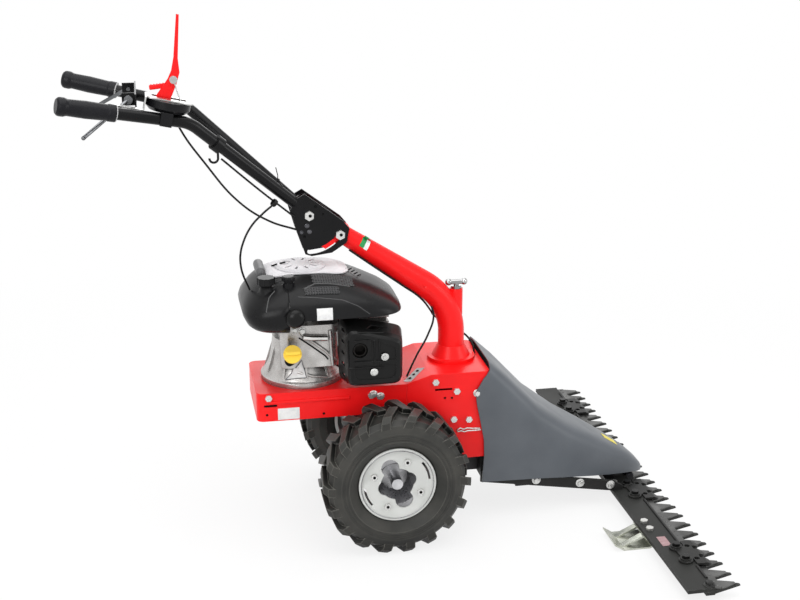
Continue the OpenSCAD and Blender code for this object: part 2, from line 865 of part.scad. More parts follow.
// Points of a loop round both pulleys at a given distance from their faces
function belt_loop(out) =
    let (d = worm_x - engine_x, r0 = engine_pulley_r + out, r1 = input_pulley_r + out,
         a = acos((r0 - r1) / d))
    concat([for (k = [0 : belt_steps]) let (t = a + (360 - 2 * a) * k / belt_steps) r0 * [cos(t), sin(t)]],
           [for (k = [0 : belt_steps]) let (t = 2 * a * k / belt_steps - a) [d, 0] + r1 * [cos(t), sin(t)]]);

module drive_belt() {
    color("#26282a") translate([engine_x, 0, belt_z]) linear_extrude(height = belt_h) difference() {
        polygon(belt_loop(gap + belt_t));
        polygon(belt_loop(gap));
    }
}

// CUTTER BAR

module cutter_bar() {
    color("#303235") difference() {
        translate([plate_rear, -bar_half, plate_z]) cube([plate_depth, 2 * bar_half, plate_t]);
        for (p = bar_bolt_places) translate([p.x, p.y, plate_z - over])
            cylinder(h = plate_t + 2 * over, r = bar_bolt_r + fit);
    }
}

module finger_comb() {
    base_x = plate_front - comb_base;
    low_z = plate_z - comb_t;
    fingers = [for (k = [0 : finger_count - 1]) let (y = (k - (finger_count - 1) / 2) * finger_pitch)
        each [[plate_front, y - finger_root_w / 2], [tip_x, y - finger_tip_w / 2],
              [tip_x, y + finger_tip_w / 2], [plate_front, y + finger_root_w / 2]]];
    color("#2c2e30") difference() {
        intersection() {
            translate([0, 0, low_z])
                linear_extrude(height = comb_t)
                    polygon(concat([[base_x, -bar_half], [plate_front, -bar_half]], fingers,
                                   [[plate_front, bar_half], [base_x, bar_half]]));
            side_plate([[base_x, low_z], [plate_front, low_z], [tip_x, plate_z - finger_drop - finger_tip_t],
                        [tip_x, plate_z - finger_drop], [tip_x - finger_nose, plate_z], [base_x, plate_z]],
                       2 * bar_half + 2 * over);
        }
        for (p = clip_bolt_places) translate([p.x, p.y, low_z - over])
            cylinder(h = comb_t + 2 * over, r = bar_bolt_r + fit);
    }
}

module knife() {
    x0 = plate_front + knife_gap;
    x1 = x0 + knife_back_w;
    sections = [for (k = [0 : finger_count - 1]) let (y = (k - (finger_count - 1) / 2) * finger_pitch)
        each [[x1, y - section_base_w / 2], [x0 + section_l, y - section_tip_w / 2],
              [x0 + section_l, y + section_tip_w / 2], [x1, y + section_base_w / 2]]];
    end_y = bar_half - knife_end;
    color("#55585b") translate([0, 0, knife_z]) {
        linear_extrude(height = knife_t)
            polygon(concat([[x0, -end_y], [x1, -end_y]], sections, [[x1, end_y], [x0, end_y]]));
        translate([x0, -end_y, 0]) cube([knife_back_w, 2 * end_y, knife_back_t]);
    }
}

module knife_head() {
    color("#6d7074") translate([head_x, 0, knife_z + knife_back_t]) difference() {
        translate([-knife_back_w / 2, -head_l / 2, 0]) cube([knife_back_w, head_l, head_h]);
        translate([-knife_back_w / 2 - over, -head_pin_r - head_clear, head_slot])
            cube([knife_back_w + 2 * over, 2 * (head_pin_r + head_clear), head_h]);
    }
}

// Outline seen from above: lobes round the bolts, a waist and three round toes
module clip_plan() {
    pitch = (clip_w - clip_toe_w) / 2;
    translate([-clip_rear, -clip_bolt_span / 2]) square([clip_rear, clip_bolt_span]);
    translate([0, -clip_w / 2]) square([clip_reach - clip_toe - clip_t, clip_w]);
    for (side = [-1, 1]) translate([-clip_bolt_in, side * clip_bolt_span / 2]) circle(clip_lobe_r);
    for (k = [-1, 0, 1]) translate([0, k * pitch]) {
        translate([0, -clip_toe_w / 2]) square([clip_reach - clip_toe_w / 2, clip_toe_w]);
        translate([clip_reach - clip_toe_w / 2, 0]) circle(clip_toe_w / 2);
    }
}

module hold_down_clip() {
    reach = clip_rear + clip_lobe_r;
    toe_x = clip_reach - clip_toe;
    toe_z = knife_z + knife_t + gap - plate_top;
    translate([plate_front, 0, plate_top]) difference() {
        union() {
            intersection() {
                translate([0, 0, toe_z]) linear_extrude(height = clip_t - toe_z) clip_plan();
                side_plate([[-reach, 0], [toe_x - clip_t, 0], [toe_x, toe_z], [clip_reach + over, toe_z],
                            [clip_reach + over, toe_z + clip_t / 2], [toe_x + clip_t / 2, clip_t],
                            [-reach, clip_t]], 2 * clip_w);
            }
            for (side = [-1, 1]) translate([-clip_bolt_in, side * clip_bolt_span / 2, 0])
                cylinder(h = clip_t + clip_boss_h, r = clip_boss_r);
        }
        for (side = [-1, 1]) translate([0, side * clip_bolt_span / 2, -over]) {
            translate([-clip_bolt_in, 0, 0])
                cylinder(h = clip_t + clip_boss_h + 2 * over, r = bar_bolt_r + fit);
            translate([clip_window_in, 0, 0]) cylinder(h = clip_t + 2 * over, r = clip_window_r);
        }
    }
}

module hold_down_clips() {
    color("#232527") for (p = clip_place_shares) translate([0, p * finger_pitch, 0]) hold_down_clip();
}

module bar_bolts() {
    color("#c8cbcd") {
        for (p = clip_bolt_places) translate([p.x, p.y, plate_top + clip_t + clip_boss_h])
            bolt(bar_bolt_r, bar_head_r, bar_head_h, clip_boss_h + clip_t + plate_t + comb_t);
        for (p = skid_bolt_places) translate([p.x, p.y, plate_top])
            bolt(bar_bolt_r, bar_head_r, bar_head_h, plate_t + skid_t);
        for (p = foot_bolt_places) translate([p.x, p.y, plate_top + foot_t])
            bolt(bar_bolt_r, bar_head_r, bar_head_h, foot_t + plate_t);
    }
}

module skid_shoe(side) {
    toe_x = plate_rear + skid_pad_l;
    tail_x = toe_x - skid_l;
    sole = [[tail_x, skid_tail_h], [tail_x + skid_rise, 0], [toe_x - skid_toe, 0], [toe_x, skid_toe_h]];
    pad_z = plate_z - skid_t;
    color("#b9bdb6") translate([0, side * skid_y, 0]) {
        difference() {
            union() {
                side_plate(concat(sole, [for (i = [3 : -1 : 0]) sole[i] + [0, skid_t]]), skid_w);
                translate([plate_rear, -skid_w / 2, pad_z]) cube([skid_pad_l, skid_w, skid_t]);
                for (y = [-1, 1]) translate([0, y * skid_strap_y, 0])
                    side_plate([[tail_x + skid_rise, 0], [plate_rear, pad_z], [plate_rear + skid_t, plate_z],
                                [plate_rear - skid_t, plate_z], [tail_x + skid_rise, skid_t]], skid_strap_w);
            }
            for (y = [-1, 1]) translate([plate_rear + skid_pad_l / 2, y * skid_bolt_span / 2, pad_z - over])
                cylinder(h = skid_t + 2 * over, r = bar_bolt_r + fit);
        }
    }
}

// KNIFE DRIVE AND BAR SUPPORT

module bar_support() {
    x0 = axle_x + case_front + gap;
    foot_x = plate_rear + foot_depth;
    rail = [[x0, rail_rear_z - rail_h / 2], [plate_rear, rail_front_z - rail_h / 2], [foot_x, plate_top],
            [foot_x, plate_top + foot_t + rail_t], [plate_rear, rail_front_z + rail_h / 2],
            [x0, rail_rear_z + rail_h / 2]];
    color("#242628") difference() {
        union() {
            for (side = [-1, 1]) translate([0, side * rail_y, 0]) side_plate(rail, rail_t);
            translate([x0, -rail_y, rail_rear_z]) cube([support_t, 2 * rail_y, support_top - rail_rear_z]);
            translate([plate_rear, -rail_y, plate_top]) cube([foot_depth, 2 * rail_y, foot_t]);
            translate([swing_x - swing_cross_w / 2, -rail_y, swing_cross_z])
                cube([swing_cross_w, 2 * rail_y, swing_cross_t]);
            translate([swing_x, 0, swing_cross_z])
                cylinder(h = swing_cross_t + swing_hub_h + 2 * gap, r = swing_post_r);
        }
        translate([plate_rear - plate_depth, -bar_half, 0])
            cube([2 * plate_depth, 2 * bar_half, plate_top]);
        for (p = foot_bolt_places) translate([p.x, p.y, plate_top - over])
            cylinder(h = foot_t + 2 * over, r = bar_bolt_r + fit);
    }
}

module swing_arm() {
    hub_z = swing_cross_z + swing_cross_t + gap;
    fork_top = disc_top - crank_disc_t - crank_pin_l - arm_gap;
    fork_x = worm_x + crank_throw;
    color("#4a4d50") difference() {
        union() {
            translate([swing_x, 0, hub_z]) cylinder(h = swing_hub_h, r = swing_hub_r);
            translate([fork_x, -swing_arm_w / 2, fork_top - swing_arm_t])
                cube([swing_x - fork_x, swing_arm_w, swing_arm_t]);
            translate([fork_x - fork_l / 2, -fork_w / 2, fork_top - swing_arm_t])
                cube([fork_l, fork_w, swing_arm_t]);
            side_plate([[swing_x, hub_z], [swing_x + swing_flat, hub_z], [plate_rear, swing_tip_z],
                        [head_x, swing_tip_z],
                        [head_x, swing_tip_z + swing_tip_t], [plate_rear, swing_tip_z + swing_tip_t],
                        [swing_x, hub_z + swing_arm_t]], swing_arm_w);
            translate([head_x, 0, swing_tip_z]) cylinder(h = swing_tip_t, r = swing_arm_w / 2);
            translate([head_x, 0, head_floor]) cylinder(h = swing_tip_z - head_floor + over, r = head_pin_r);
        }
        translate([swing_x, 0, hub_z - over]) cylinder(h = swing_hub_h + 2 * over, r = swing_post_r + fit);
        translate([fork_x - fork_l / 2 - over, -fork_slot_w / 2, fork_top - swing_arm_t - over])
            cube([fork_slot_l, fork_slot_w, swing_arm_t + 2 * over]);
    }
}

// CHASSIS

module tray_plan(inset) {
    x0 = tray_x + inset;
    y1 = half_frame - inset;
    r = tray_corner - inset;
    translate([x0 + r, -y1]) square([axle_x + tray_front - x0 - r, 2 * y1]);
    translate([x0, -y1 + r]) square([r + over, 2 * (y1 - r)]);
    for (side = [-1, 1]) translate([x0 + r, side * (y1 - r)]) circle(r);
}

module engine_tray() {
    low_z = tray_z - tray_h;
    color("#d3181f") difference() {
        union() {
            translate([0, 0, low_z]) linear_extrude(height = tray_h) tray_plan(0);
            for (side = [-1, 1])
                bar([axle_x - bead_rib_x0, side * half_frame, tray_z - bead_rib_drop],
                    [axle_x - bead_rib_x1, side * half_frame, tray_z - bead_rib_drop], bead_rib_r);
        }
        translate([0, 0, low_z - over]) linear_extrude(height = tray_h - sheet_t + over) tray_plan(sheet_t);
        translate([engine_x, 0, low_z]) cylinder(h = 2 * tray_h, r = tray_hole_r);
        translate([axle_x + tray_front - over, -half_frame + sheet_t, low_z])
            cube([2 * over, frame_w - 2 * sheet_t, tray_h - sheet_t]);
        translate([axle_x - tray_slot_x, -half_frame - sheet_t, tray_z - tray_slot_drop])
            cube([tray_slot_l, 2 * sheet_t, tray_slot_h]);
        for (side = [-1, 1], p = tray_bolts) translate([p.x, side * half_frame, p.y])
            cross_pin(frame_bolt_r + fit, 4 * sheet_t);
    }
}

module cover_profile(inset) {
    top = cover_z - inset;
    rear = axle_x + tray_front + gap;
    reach = inset > 0 ? over : 0;
    polygon([[rear - reach, tray_z - inset], [axle_x + deck_x, top], [cover_x - inset, top],
             [cover_x - inset, cover_low_z - reach], [axle_x + cover_low_x - reach, cover_low_z - reach],
             [axle_x + cover_step_x - reach, cover_step_z - reach], [rear - reach, tray_z - tray_h - reach]]);
}

module cover_solid(inset) {
    intersection() {
        rotate([90, 0, 0]) linear_extrude(height = frame_w - 2 * inset, center = true) cover_profile(inset);
        translate([0, 0, cover_low_z - over])
            linear_extrude(height = cover_z)
                round_rect([axle_x - cover_corner, -half_frame + inset],
                           [cover_x - inset, half_frame - inset], cover_corner - inset);
    }
}

module gearbox_cover() {
    color("#d3181f") difference() {
        cover_solid(0);
        cover_solid(sheet_t);
        translate([column_x, 0, cover_z - 2 * sheet_t]) cylinder(h = 3 * sheet_t, r = spigot_r + gap);
        translate([axle_x + cover_slot_x, -half_frame - sheet_t, cover_slot_z])
            cube([cover_slot_l, 2 * sheet_t, cover_slot_h]);
        for (side = [-1, 1], p = cover_bolts) translate([p.x, side * half_frame, p.y])
            cross_pin(frame_bolt_r + fit, 4 * sheet_t);
    }
}

module frame_bolts() {
    color("#d5d7d8") for (side = [-1, 1], p = concat(tray_bolts, cover_bolts))
        translate([p.x, side * half_frame, p.y]) rotate([side > 0 ? -90 : 90, 0, 0])
            bolt(frame_bolt_r, frame_head_r, frame_head_h, 2 * sheet_t);
}

// ENGINE

module crankcase() {
    color("#b4b6b5") difference() {
        union() {
            translate([engine_x, 0, tray_z]) {
                rotate_extrude() polygon(concat(
                    [[0, 0]], [for (s = bell_shares) [s.x * flange_d / 2, s.y * bell_h]], [[0, bell_h]]));
                for (k = [0 : web_count - 1]) rotate(360 / web_count * (k + 0.5)) rotate([90, 0, 0])
                    linear_extrude(height = web_t, center = true)
                        polygon([[0, 0], [flange_d / 2 - web_t, flange_t], [flange_d * web_share, bell_h],
                                 [0, bell_h]]);
            }
            translate([engine_x, 0, block_z0]) linear_extrude(height = block_z1 - block_z0)
                round_rect([-block_rear, -block_w / 2], [block_front, block_w / 2], block_r);
            oil_neck_place() translate([0, 0, -neck_root]) cylinder(h = neck_root + neck_l, r = neck_r);
        }
        translate([engine_x, 0, tray_z - over]) cylinder(h = block_z1, r = crank_r + fit);
    }
}

module oil_neck_place() {
    translate([axle_x - neck_x, -neck_y, neck_z]) rotate([neck_tilt, 0, 0]) children();
}

module oil_cap() {
    color("#e3b51c") oil_neck_place() translate([0, 0, neck_l + gap]) {
        cylinder(h = oil_cap_h / 2, r = oil_cap_r);
        translate([0, 0, oil_cap_h / 2]) intersection() {
            cylinder(h = oil_cap_h / 2, r = oil_cap_r - oil_cap_grip_t / 2);
            translate([-oil_cap_r, -oil_cap_grip_t / 2, 0]) cube([2 * oil_cap_r, oil_cap_grip_t, oil_cap_h]);
        }
    }
}

module cylinder_block() {
    x0 = engine_x + block_front + gap;
    pitch = (cyl_z1 - cyl_z0 - fin_t) / (fin_count - 1);
    color("#a9acab") difference() {
        union() {
            translate([x0, -cyl_core_w / 2, cyl_z0]) cube([cyl_l, cyl_core_w, cyl_z1 - cyl_z0]);
            for (k = [0 : fin_count - 1])
                translate([x0 + fin_t, -cyl_w / 2, cyl_z0 + k * pitch]) cube([cyl_l, cyl_w, fin_t]);
        }
        translate([axle_x - outlet_x / 2, -cyl_core_w / 2, outlet_z])
            rotate([90, 0, 0]) cylinder(h = cyl_w, r = pipe_r + gap);
    }
}

module crankshaft() {
    color("#9a9ea2") translate([engine_x, 0, crank_low]) cylinder(h = crank_top - crank_low, r = crank_r);
}

module flywheel() {
    color("#8a8d8f") translate([engine_x, 0, flywheel_z]) difference() {
        union() {
            cylinder(h = flywheel_t, r = flywheel_r);
            for (k = [0 : blade_count - 1]) rotate(360 / blade_count * k)
                translate([flywheel_r - blade_l, -blade_t / 2, 0])
                    cube([blade_l - blade_t, blade_t, flywheel_t + blade_h]);
        }
        translate([0, 0, -over]) cylinder(h = flywheel_t + 2 * over, r = crank_r + fit);
    }
}

// Rings of the muffler guard from its open back to its front, its top sloping down forwards
function guard_rings(inset) = [for (s = guard_shares)
    let (edge = guard_taper * s.y + inset, l = (guard_x0 + guard_x1) / 2 - edge,
         h = (guard_z1 - guard_z0) / 2 - edge, y = -guard_y0 - (guard_y1 - guard_y0 - inset) * s.x)
    [for (k = [0 : guard_sides - 1])
        let (a = 360 * k / guard_sides, u = bow(cos(a), guard_round), v = bow(sin(a), guard_round))
        [axle_x + (guard_x1 - guard_x0) / 2 + l * u, y,
         (guard_z0 + guard_z1) / 2 + h * v - guard_slant * max(v, 0) * (u + 1)]]];

// Puts a shape drawn in the XZ plane on the guard's front, at a depth behind it
module at_guard(x, z, depth) {
    translate([axle_x + x, -guard_y1 + depth, z]) rotate([90, 0, 0]) children();
}

module muffler_guard() {
    depth = guard_y1 - guard_y0;
    pitch = (guard_z1 - guard_z0) / (2 * guard_slots + 2);
    front = guard_rings(guard_frame)[len(guard_shares) - 1];
    color("#1d1e20") difference() {
        union() {
            difference() {
                loft(guard_rings(0));
                translate([0, guard_recess + over, 0]) loft(guard_rings(guard_t));
                translate([0, guard_recess - guard_y1, 0]) rotate([90, 0, 0])
                    linear_extrude(height = 2 * guard_recess) polygon([for (p = front) [p.x, p.z]]);
            }
            at_guard(-guard_x0 + guard_taper + guard_frame, guard_rib_z, guard_recess + over)
                cube([guard_x0 + guard_x1 - 2 * (guard_taper + guard_frame), guard_rib_h,
                      guard_recess + over]);
            at_guard(-outlet_x - guard_box / 2, outlet_z - guard_box / 2, guard_recess + over)
                cube([guard_box, guard_box, guard_recess + over]);
        }
        at_guard(-outlet_x, outlet_z, depth) cylinder(h = 2 * depth, r = outlet_r);
        for (p = guard_screws) at_guard(p.x - axle_x, p.y, depth)
            cylinder(h = 2 * depth, r = screw_r / 2 + gap);
        for (k = [0 : guard_slots - 1])
            translate([axle_x - guard_x0 - over, -guard_y1 + depth / 3, guard_z0 + (2 * k + 2) * pitch])
                cube([guard_x0 + guard_x1 + 2 * over, depth / 3, guard_slot_h]);
    }
}

module muffler() {
    screw_l = muffler_in + over - guard_recess;
    color("#6b6d6c") difference() {
        union() {
            loft(guard_rings(muffler_in));
            at_guard(-outlet_x, outlet_z, muffler_in + over)
                cylinder(h = muffler_in - guard_t, r = outlet_r - guard_t);
            translate([axle_x - outlet_x / 2, -cyl_core_w / 2 - gap, outlet_z]) rotate([90, 0, 0])
                cylinder(h = guard_y0 - cyl_core_w / 2, r = pipe_r);
            for (p = guard_screws) at_guard(p.x - axle_x, p.y, muffler_in + over) {
                cylinder(h = screw_l, r = screw_r / 2);
                translate([0, 0, screw_l]) cylinder(h = screw_h, r = screw_r, $fn = 6);
            }
        }
        at_guard(-outlet_x, outlet_z, 2 * muffler_in)
            cylinder(h = 2 * muffler_in, r = outlet_r - 2 * guard_t);
    }
}

module air_filter() {
    color("#1d1e20") translate([0, filter_y1, 0]) rotate([90, 0, 0])
        linear_extrude(height = filter_y1 - filter_y0)
            round_rect([axle_x - filter_x0, filter_z0], [axle_x - filter_x1, filter_z1], filter_r);
}

// Rings of the shroud's outer skin, or of its inner skin where inset is the wall
function shroud_rings(inset) = [for (s = smooth(shroud_shares, shroud_steps))
    let (z = shroud_low + s[0] * (shroud_top - shroud_low - inset), l = shroud_l * s[1] / 2 - inset,
         w = shroud_w * s[2] / 2 - inset, x = shroud_x + shroud_l * s[3])
    [for (k = [0 : shroud_sides - 1]) let (a = 360 * k / shroud_sides, n = sin(a) < 0 ? s[4] : s[5])
        [x + l * bow(cos(a), n), w * bow(sin(a), n), z]]];

// Space behind the fan that belongs to the tank, grown by a gap for the shroud
module tank_space(grow) {
    difference() {
        translate([axle_x - tank_split - shroud_l + grow, -shroud_w, shroud_low - shroud_w])
            cube([shroud_l, 2 * shroud_w, 2 * shroud_w]);
        translate([engine_x, 0, shroud_low - shroud_w])
            cylinder(h = 3 * shroud_w, r = tank_wall_r - grow, $fn = 64);
    }
}

// Room for the starter grip and the fuel cap in the shroud and the tank
module top_recesses() {
    r = pull_r + gap;
    half = pull_l / 2 + r;
    translate([axle_x - pull_x + r - notch_l, -half, pull_z - r]) cube([notch_l, 2 * half, notch_l]);
    translate([axle_x - fuel_x, -fuel_y, fuel_neck_top - cap_recess_h])
        cylinder(h = notch_l, r = cap_recess_r);
}

module engine_shroud() {
    color("#1b1c1e") difference() {
        loft(shroud_rings(0));
        translate([0, 0, -over]) loft(shroud_rings(shroud_t));
        tank_space(tank_gap);
        translate([shroud_x - shroud_l, -shroud_w, shroud_low - shroud_w])
            cube([2 * shroud_l, 2 * shroud_w, shroud_skirt - shroud_low + shroud_w]);
        translate([engine_x, 0, shroud_top - shroud_w]) cylinder(h = 2 * shroud_w, r = starter_hub_r);
        top_recesses();
    }
}

module fuel_tank() {
    color("#1b1c1e") difference() {
        union() {
            difference() {
                intersection() {
                    loft(shroud_rings(0));
                    tank_space(0);
                }
                top_recesses();
            }
            translate([axle_x - fuel_x, -fuel_y, shroud_skirt])
                cylinder(h = fuel_neck_top - shroud_skirt, r = fuel_neck_r);
        }
        translate([axle_x - fuel_x, -fuel_y, shroud_skirt])
            cylinder(h = fuel_neck_top, r = fuel_neck_r - shroud_t);
    }
}

module fuel_cap() {
    color("#222326") translate([axle_x - fuel_x, -fuel_y, fuel_neck_top + gap]) {
        cylinder(h = fuel_cap_h, r = fuel_cap_r);
        for (k = [0 : fuel_ribs - 1]) rotate(360 / fuel_ribs * k)
            translate([fuel_cap_r, 0, 0]) cylinder(h = fuel_cap_h, r = shroud_t / 2);
    }
}

// Skin over the shroud's top with the round recoil housing on it
module starter_cover() {
    pitch = 360 / starter_slots;
    color("#8d9093") difference() {
        union() {
            intersection() {
                difference() {
                    loft(shroud_rings(-gap - trim_t));
                    loft(shroud_rings(-gap));
                }
                translate([shroud_x, 0, shroud_skirt]) linear_extrude(height = shroud_top)
                    round_rect([-shroud_l * trim_rear_share, -trim_half],
                               [shroud_l * trim_front_share, trim_half], trim_corner_r);
            }
            translate([engine_x, 0, shroud_top + gap]) rotate_extrude()
                polygon([[0, 0], [starter_r, 0], [starter_r, starter_rim_t],
                         [starter_brow_r, starter_brow_t], [starter_hub_r, starter_t], [0, starter_t]]);
        }
        for (k = [0 : starter_slots - 1]) translate([engine_x, 0, shroud_top]) rotate(pitch * k)
            translate([starter_hub_r + starter_slot_w, -starter_slot_w / 2, -over])
                cube([starter_brow_r - starter_hub_r - 2 * starter_slot_w, starter_slot_w, 2 * starter_t]);
        top_recesses();
    }
}

module starter_grip() {
    color("#55585a") translate([axle_x - pull_x, 0, pull_z]) {
        cross_pin(pull_r, pull_l);
        for (side = [-1, 1]) translate([0, side * pull_l / 2, 0]) sphere(r = pull_r);
    }
}

// STEERING COLUMN

// Column's centre line from a height on the swivel axis to a distance from the pivot bolt
module column_path(r, r_end, z0, end) {
    drop = tan(column_slope) * (column_x - pivot.x);
    corner = [column_x, 0, pivot.z - drop];
    bent_bar([column_x, 0, z0], corner, pivot + unit(corner - pivot) * end, column_bend_r, r, r_end);
}

module steering_column() {
    color("#d3181f") difference() {
        union() {
            difference() {
                union() {
                    column_path(column_r, arm_end_r, cover_z, head_reach - arm_lap);
                    translate([column_x, 0, cover_z]) cylinder(h = column_flange_t, r = column_flange_r);
                    translate([column_x, 0, cover_z + column_flange_t])
                        cylinder(h = column_cone_h, r1 = column_cone_r, r2 = column_r + over);
                }
                column_path(column_r - column_wall, arm_end_r - column_wall, cover_z + column_flange_t,
                            head_reach + arm_lap);
            }
            translate([column_x, 0, cover_z - spigot_l]) cylinder(h = spigot_l + over, r = spigot_r);
            translate([lock_x, 0, stub_top - stub_l]) cylinder(h = stub_l, r = stub_r);
            translate(pivot) rotate([0, column_slope, 0]) {
                cross_pin(head_r, 2 * head_half);
                translate([0, -head_half, -head_r]) cube([head_reach, 2 * head_half, 2 * head_r]);
            }
        }
        translate([lock_x, 0, cover_z - spigot_l - over]) cylinder(h = stub_top, r = lock_r + fit);
        translate(pivot) rotate([0, column_slope, 0]) for (x = [0, slot_reach])
            translate([x, 0, 0]) cross_pin(handle_bolt_r + fit, 4 * head_half);
    }
}

module column_lock() {
    color("#cfd2d3") translate([lock_x, 0, 0]) {
        translate([0, 0, cover_z - spigot_l]) cylinder(h = lock_top - cover_z + spigot_l, r = lock_r);
        translate([0, 0, stub_top + gap]) cylinder(h = lock_collar_h, r = lock_collar_r);
        translate([0, 0, lock_top]) rotate([0, 90, 0])
            cylinder(h = lock_bar_l, r = lock_bar_r, center = true);
        for (side = [-1, 1]) translate([side * lock_bar_l / 2, 0, lock_top]) sphere(r = lock_knob_r);
    }
}

// HANDLEBAR

module handle_tubes(r, trim) {
    for (side = [-1, 1]) {
        a = flip(grip_end, side);
        b = flip(tube_bend, side);
        bent_bar(a + unit(b - a) * trim, b, flip(tube_foot, side), handle_bend_r, r);
    }
}

// Arc slot in the bracket plates, swept about the pivot bolt
module height_slot() {
    r = handle_bolt_r + bolt_clear;
    inner = head_half + bracket_gap;
    depth = 4 * inner;
    rotate([90, 0, 0]) translate([0, 0, -depth / 2]) rotate(-column_slope - slot_travel) {
        rotate_extrude(angle = slot_travel, $fn = 96) translate([slot_reach - r, 0]) square([2 * r, depth]);
        for (turn = [0, slot_travel]) rotate(turn) translate([slot_reach, 0, 0]) cylinder(h = depth, r = r);
    }
}

// Collar and hook on the right tube that guide the starter rope
module rope_hook() {
    t = (axle_x - hook_x - tube_bend.x) / (tube_foot.x - tube_bend.x);
    p = flip(tube_bend + (tube_foot - tube_bend) * t, -1);
    way = unit(flip(tube_foot - tube_bend, -1));
    bar(p - way * hook_r, p + way * hook_r, handle_r + hook_t);
    bar(p, p - [0, 0, hook_drop], hook_t / 2);
    translate(p - [hook_r, 0, hook_drop]) rotate([90, 0, 0]) rotate(180 - seam_turn)
        rotate_extrude(angle = 180 + seam_turn) translate([hook_r, 0]) circle(hook_t / 2 - fit);
}

module handlebar() {
    inner = head_half + bracket_gap;
    color("#1c1d1f") difference() {
        union() {
            difference() {
                union() {
                    handle_tubes(handle_r, grip_flange_l / 2);
                    rope_hook();
                }
                handle_tubes(handle_r - handle_wall, grip_flange_l / 2 - over);
            }
            translate(pivot + tube_way * tube_end) cross_pin(tie_r, 2 * inner + bracket_t);
            translate(pivot) for (side = [-1, 1]) translate([0, side * (inner + bracket_t / 2), 0])
                side_plate([for (p = bracket_shares) p * slot_reach], bracket_t);
        }
        translate(pivot) {
            height_slot();
            cross_pin(handle_bolt_r + fit, 4 * inner);
            rotate([0, column_slope, 0]) cross_pin(head_r + 2 * gap, 2 * inner);
        }
    }
}

module handle_bolts() {
    grip_half = head_half + bracket_gap + bracket_t + gap;
    color("#cfd2d3") translate(pivot) rotate([0, column_slope, 0]) for (x = [0, slot_reach])
        translate([x, 0, 0]) {
            cross_pin(handle_bolt_r, 2 * grip_half + over);
            for (side = [-1, 1]) translate([0, side * (grip_half + handle_head_h / 2), 0])
                rotate([90, 0, 0]) cylinder(h = handle_head_h, r = handle_head_r, center = true, $fn = 6);
        }
}

// Turned rubber grip with finger grooves underneath
module grip(side) {
    a = flip(grip_end, side);
    d = flip(tube_bend, side) - a;
    pitch = grip_l / (grip_grooves + 2);
    color("#26282a") translate(a) rotate([0, acos(d.z / norm(d)), atan2(d.y, d.x)]) difference() {
        rotate_extrude() polygon(concat([[0, 0]],
            [for (s = grip_shares) [s.y * grip_flange_r, s.x * grip_l]], [[0, grip_l]]));
        translate([0, 0, grip_flange_l / 2]) cylinder(h = grip_l, r = handle_r + fit);
        for (k = [1 : grip_grooves])
            translate([grip_flange_r + grip_groove_r - grip_groove_h, 0, k * pitch + grip_flange_l])
                cross_pin(grip_groove_r, 4 * grip_flange_r);
    }
}

// CONTROLS

module at_console() {
    translate([axle_x - console_x, -console_y, console_z]) rotate([0, handle_tilt, 0]) children();
}

module console() {
    color("#1f2022") difference() {
        union() {
            at_console() difference() {
                union() {
                    rotate_extrude()
                        polygon([[0, 0], [console_r - console_h / 3, 0], [console_r, console_h / 3],
                                 [console_r, console_h - gap], [0, console_h - gap]]);
                    translate([-saddle_w / 2, -console_r, -handle_d])
                        cube([saddle_w, console_r, handle_d + console_wall]);
                }
                translate([0, 0, console_wall])
                    cylinder(h = console_h, r = console_r - 2 * console_wall - console_h / 3);
            }
            at_console() for (side = [-1, 1]) translate([lever_axis.x, side * (lever_t + lever_pin_r), 0])
                translate([-2 * lever_pin_r, -lever_pin_r / 2, console_wall / 2])
                    cube([4 * lever_pin_r, lever_pin_r, lever_axis.y + lever_pin_r]);
        }
        at_console() translate([lever_axis.x, 0, lever_axis.y]) cross_pin(lever_pin_r + fit, gate_w);
        handle_tubes(handle_r + gap, 0);
    }
}

module gate_plate() {
    tail_x = -gate_l / 2;
    foot_z = -gate_t;
    foot_y = -gate_w * foot_share;
    color("#d9dad8") difference() {
        at_console() difference() {
            union() {
                translate([0, 0, console_h]) linear_extrude(height = gate_t)
                    round_rect([tail_x, -gate_w / 2], [gate_l / 2, gate_w / 2], gate_w / 4);
                translate([tail_x, foot_y, foot_z]) cube([gate_t, gate_w / 2, console_h + gate_t - foot_z]);
                translate([tail_x - gate_w, foot_y, foot_z]) cube([gate_w + gate_t, gate_w / 4, gate_t]);
            }
            translate([0, 0, console_h - over]) linear_extrude(height = gate_t + 2 * over)
                round_rect([-gate_slot_l / 2, -gate_slot_w / 2], [gate_slot_l / 2, gate_slot_w / 2],
                           gate_slot_w / 3);
        }
        handle_tubes(handle_r + gap, 0);
    }
}

module gear_lever() {
    color("#d3181f") at_console() {
        side_plate([for (p = lever_shares) [p.x * lever_w, p.y * lever_top]], lever_t);
        translate([lever_axis.x, 0, lever_axis.y]) cross_pin(lever_pin_r, 2 * (lever_t + 2 * lever_pin_r));
    }
}

module selector_wire() {
    color("#e4e4e2") at_console() {
        translate([lever_knee.x, -lever_t / 2 - gate_t, lever_knee.y]) cross_pin(2 * lever_pin_r, 2 * gate_t);
        bar([lever_knee.x, -lever_t / 2 - gate_t, lever_knee.y],
            [wire_reach, -lever_t / 2 - gate_t, console_h - gate_t], wire_r);
    }
}

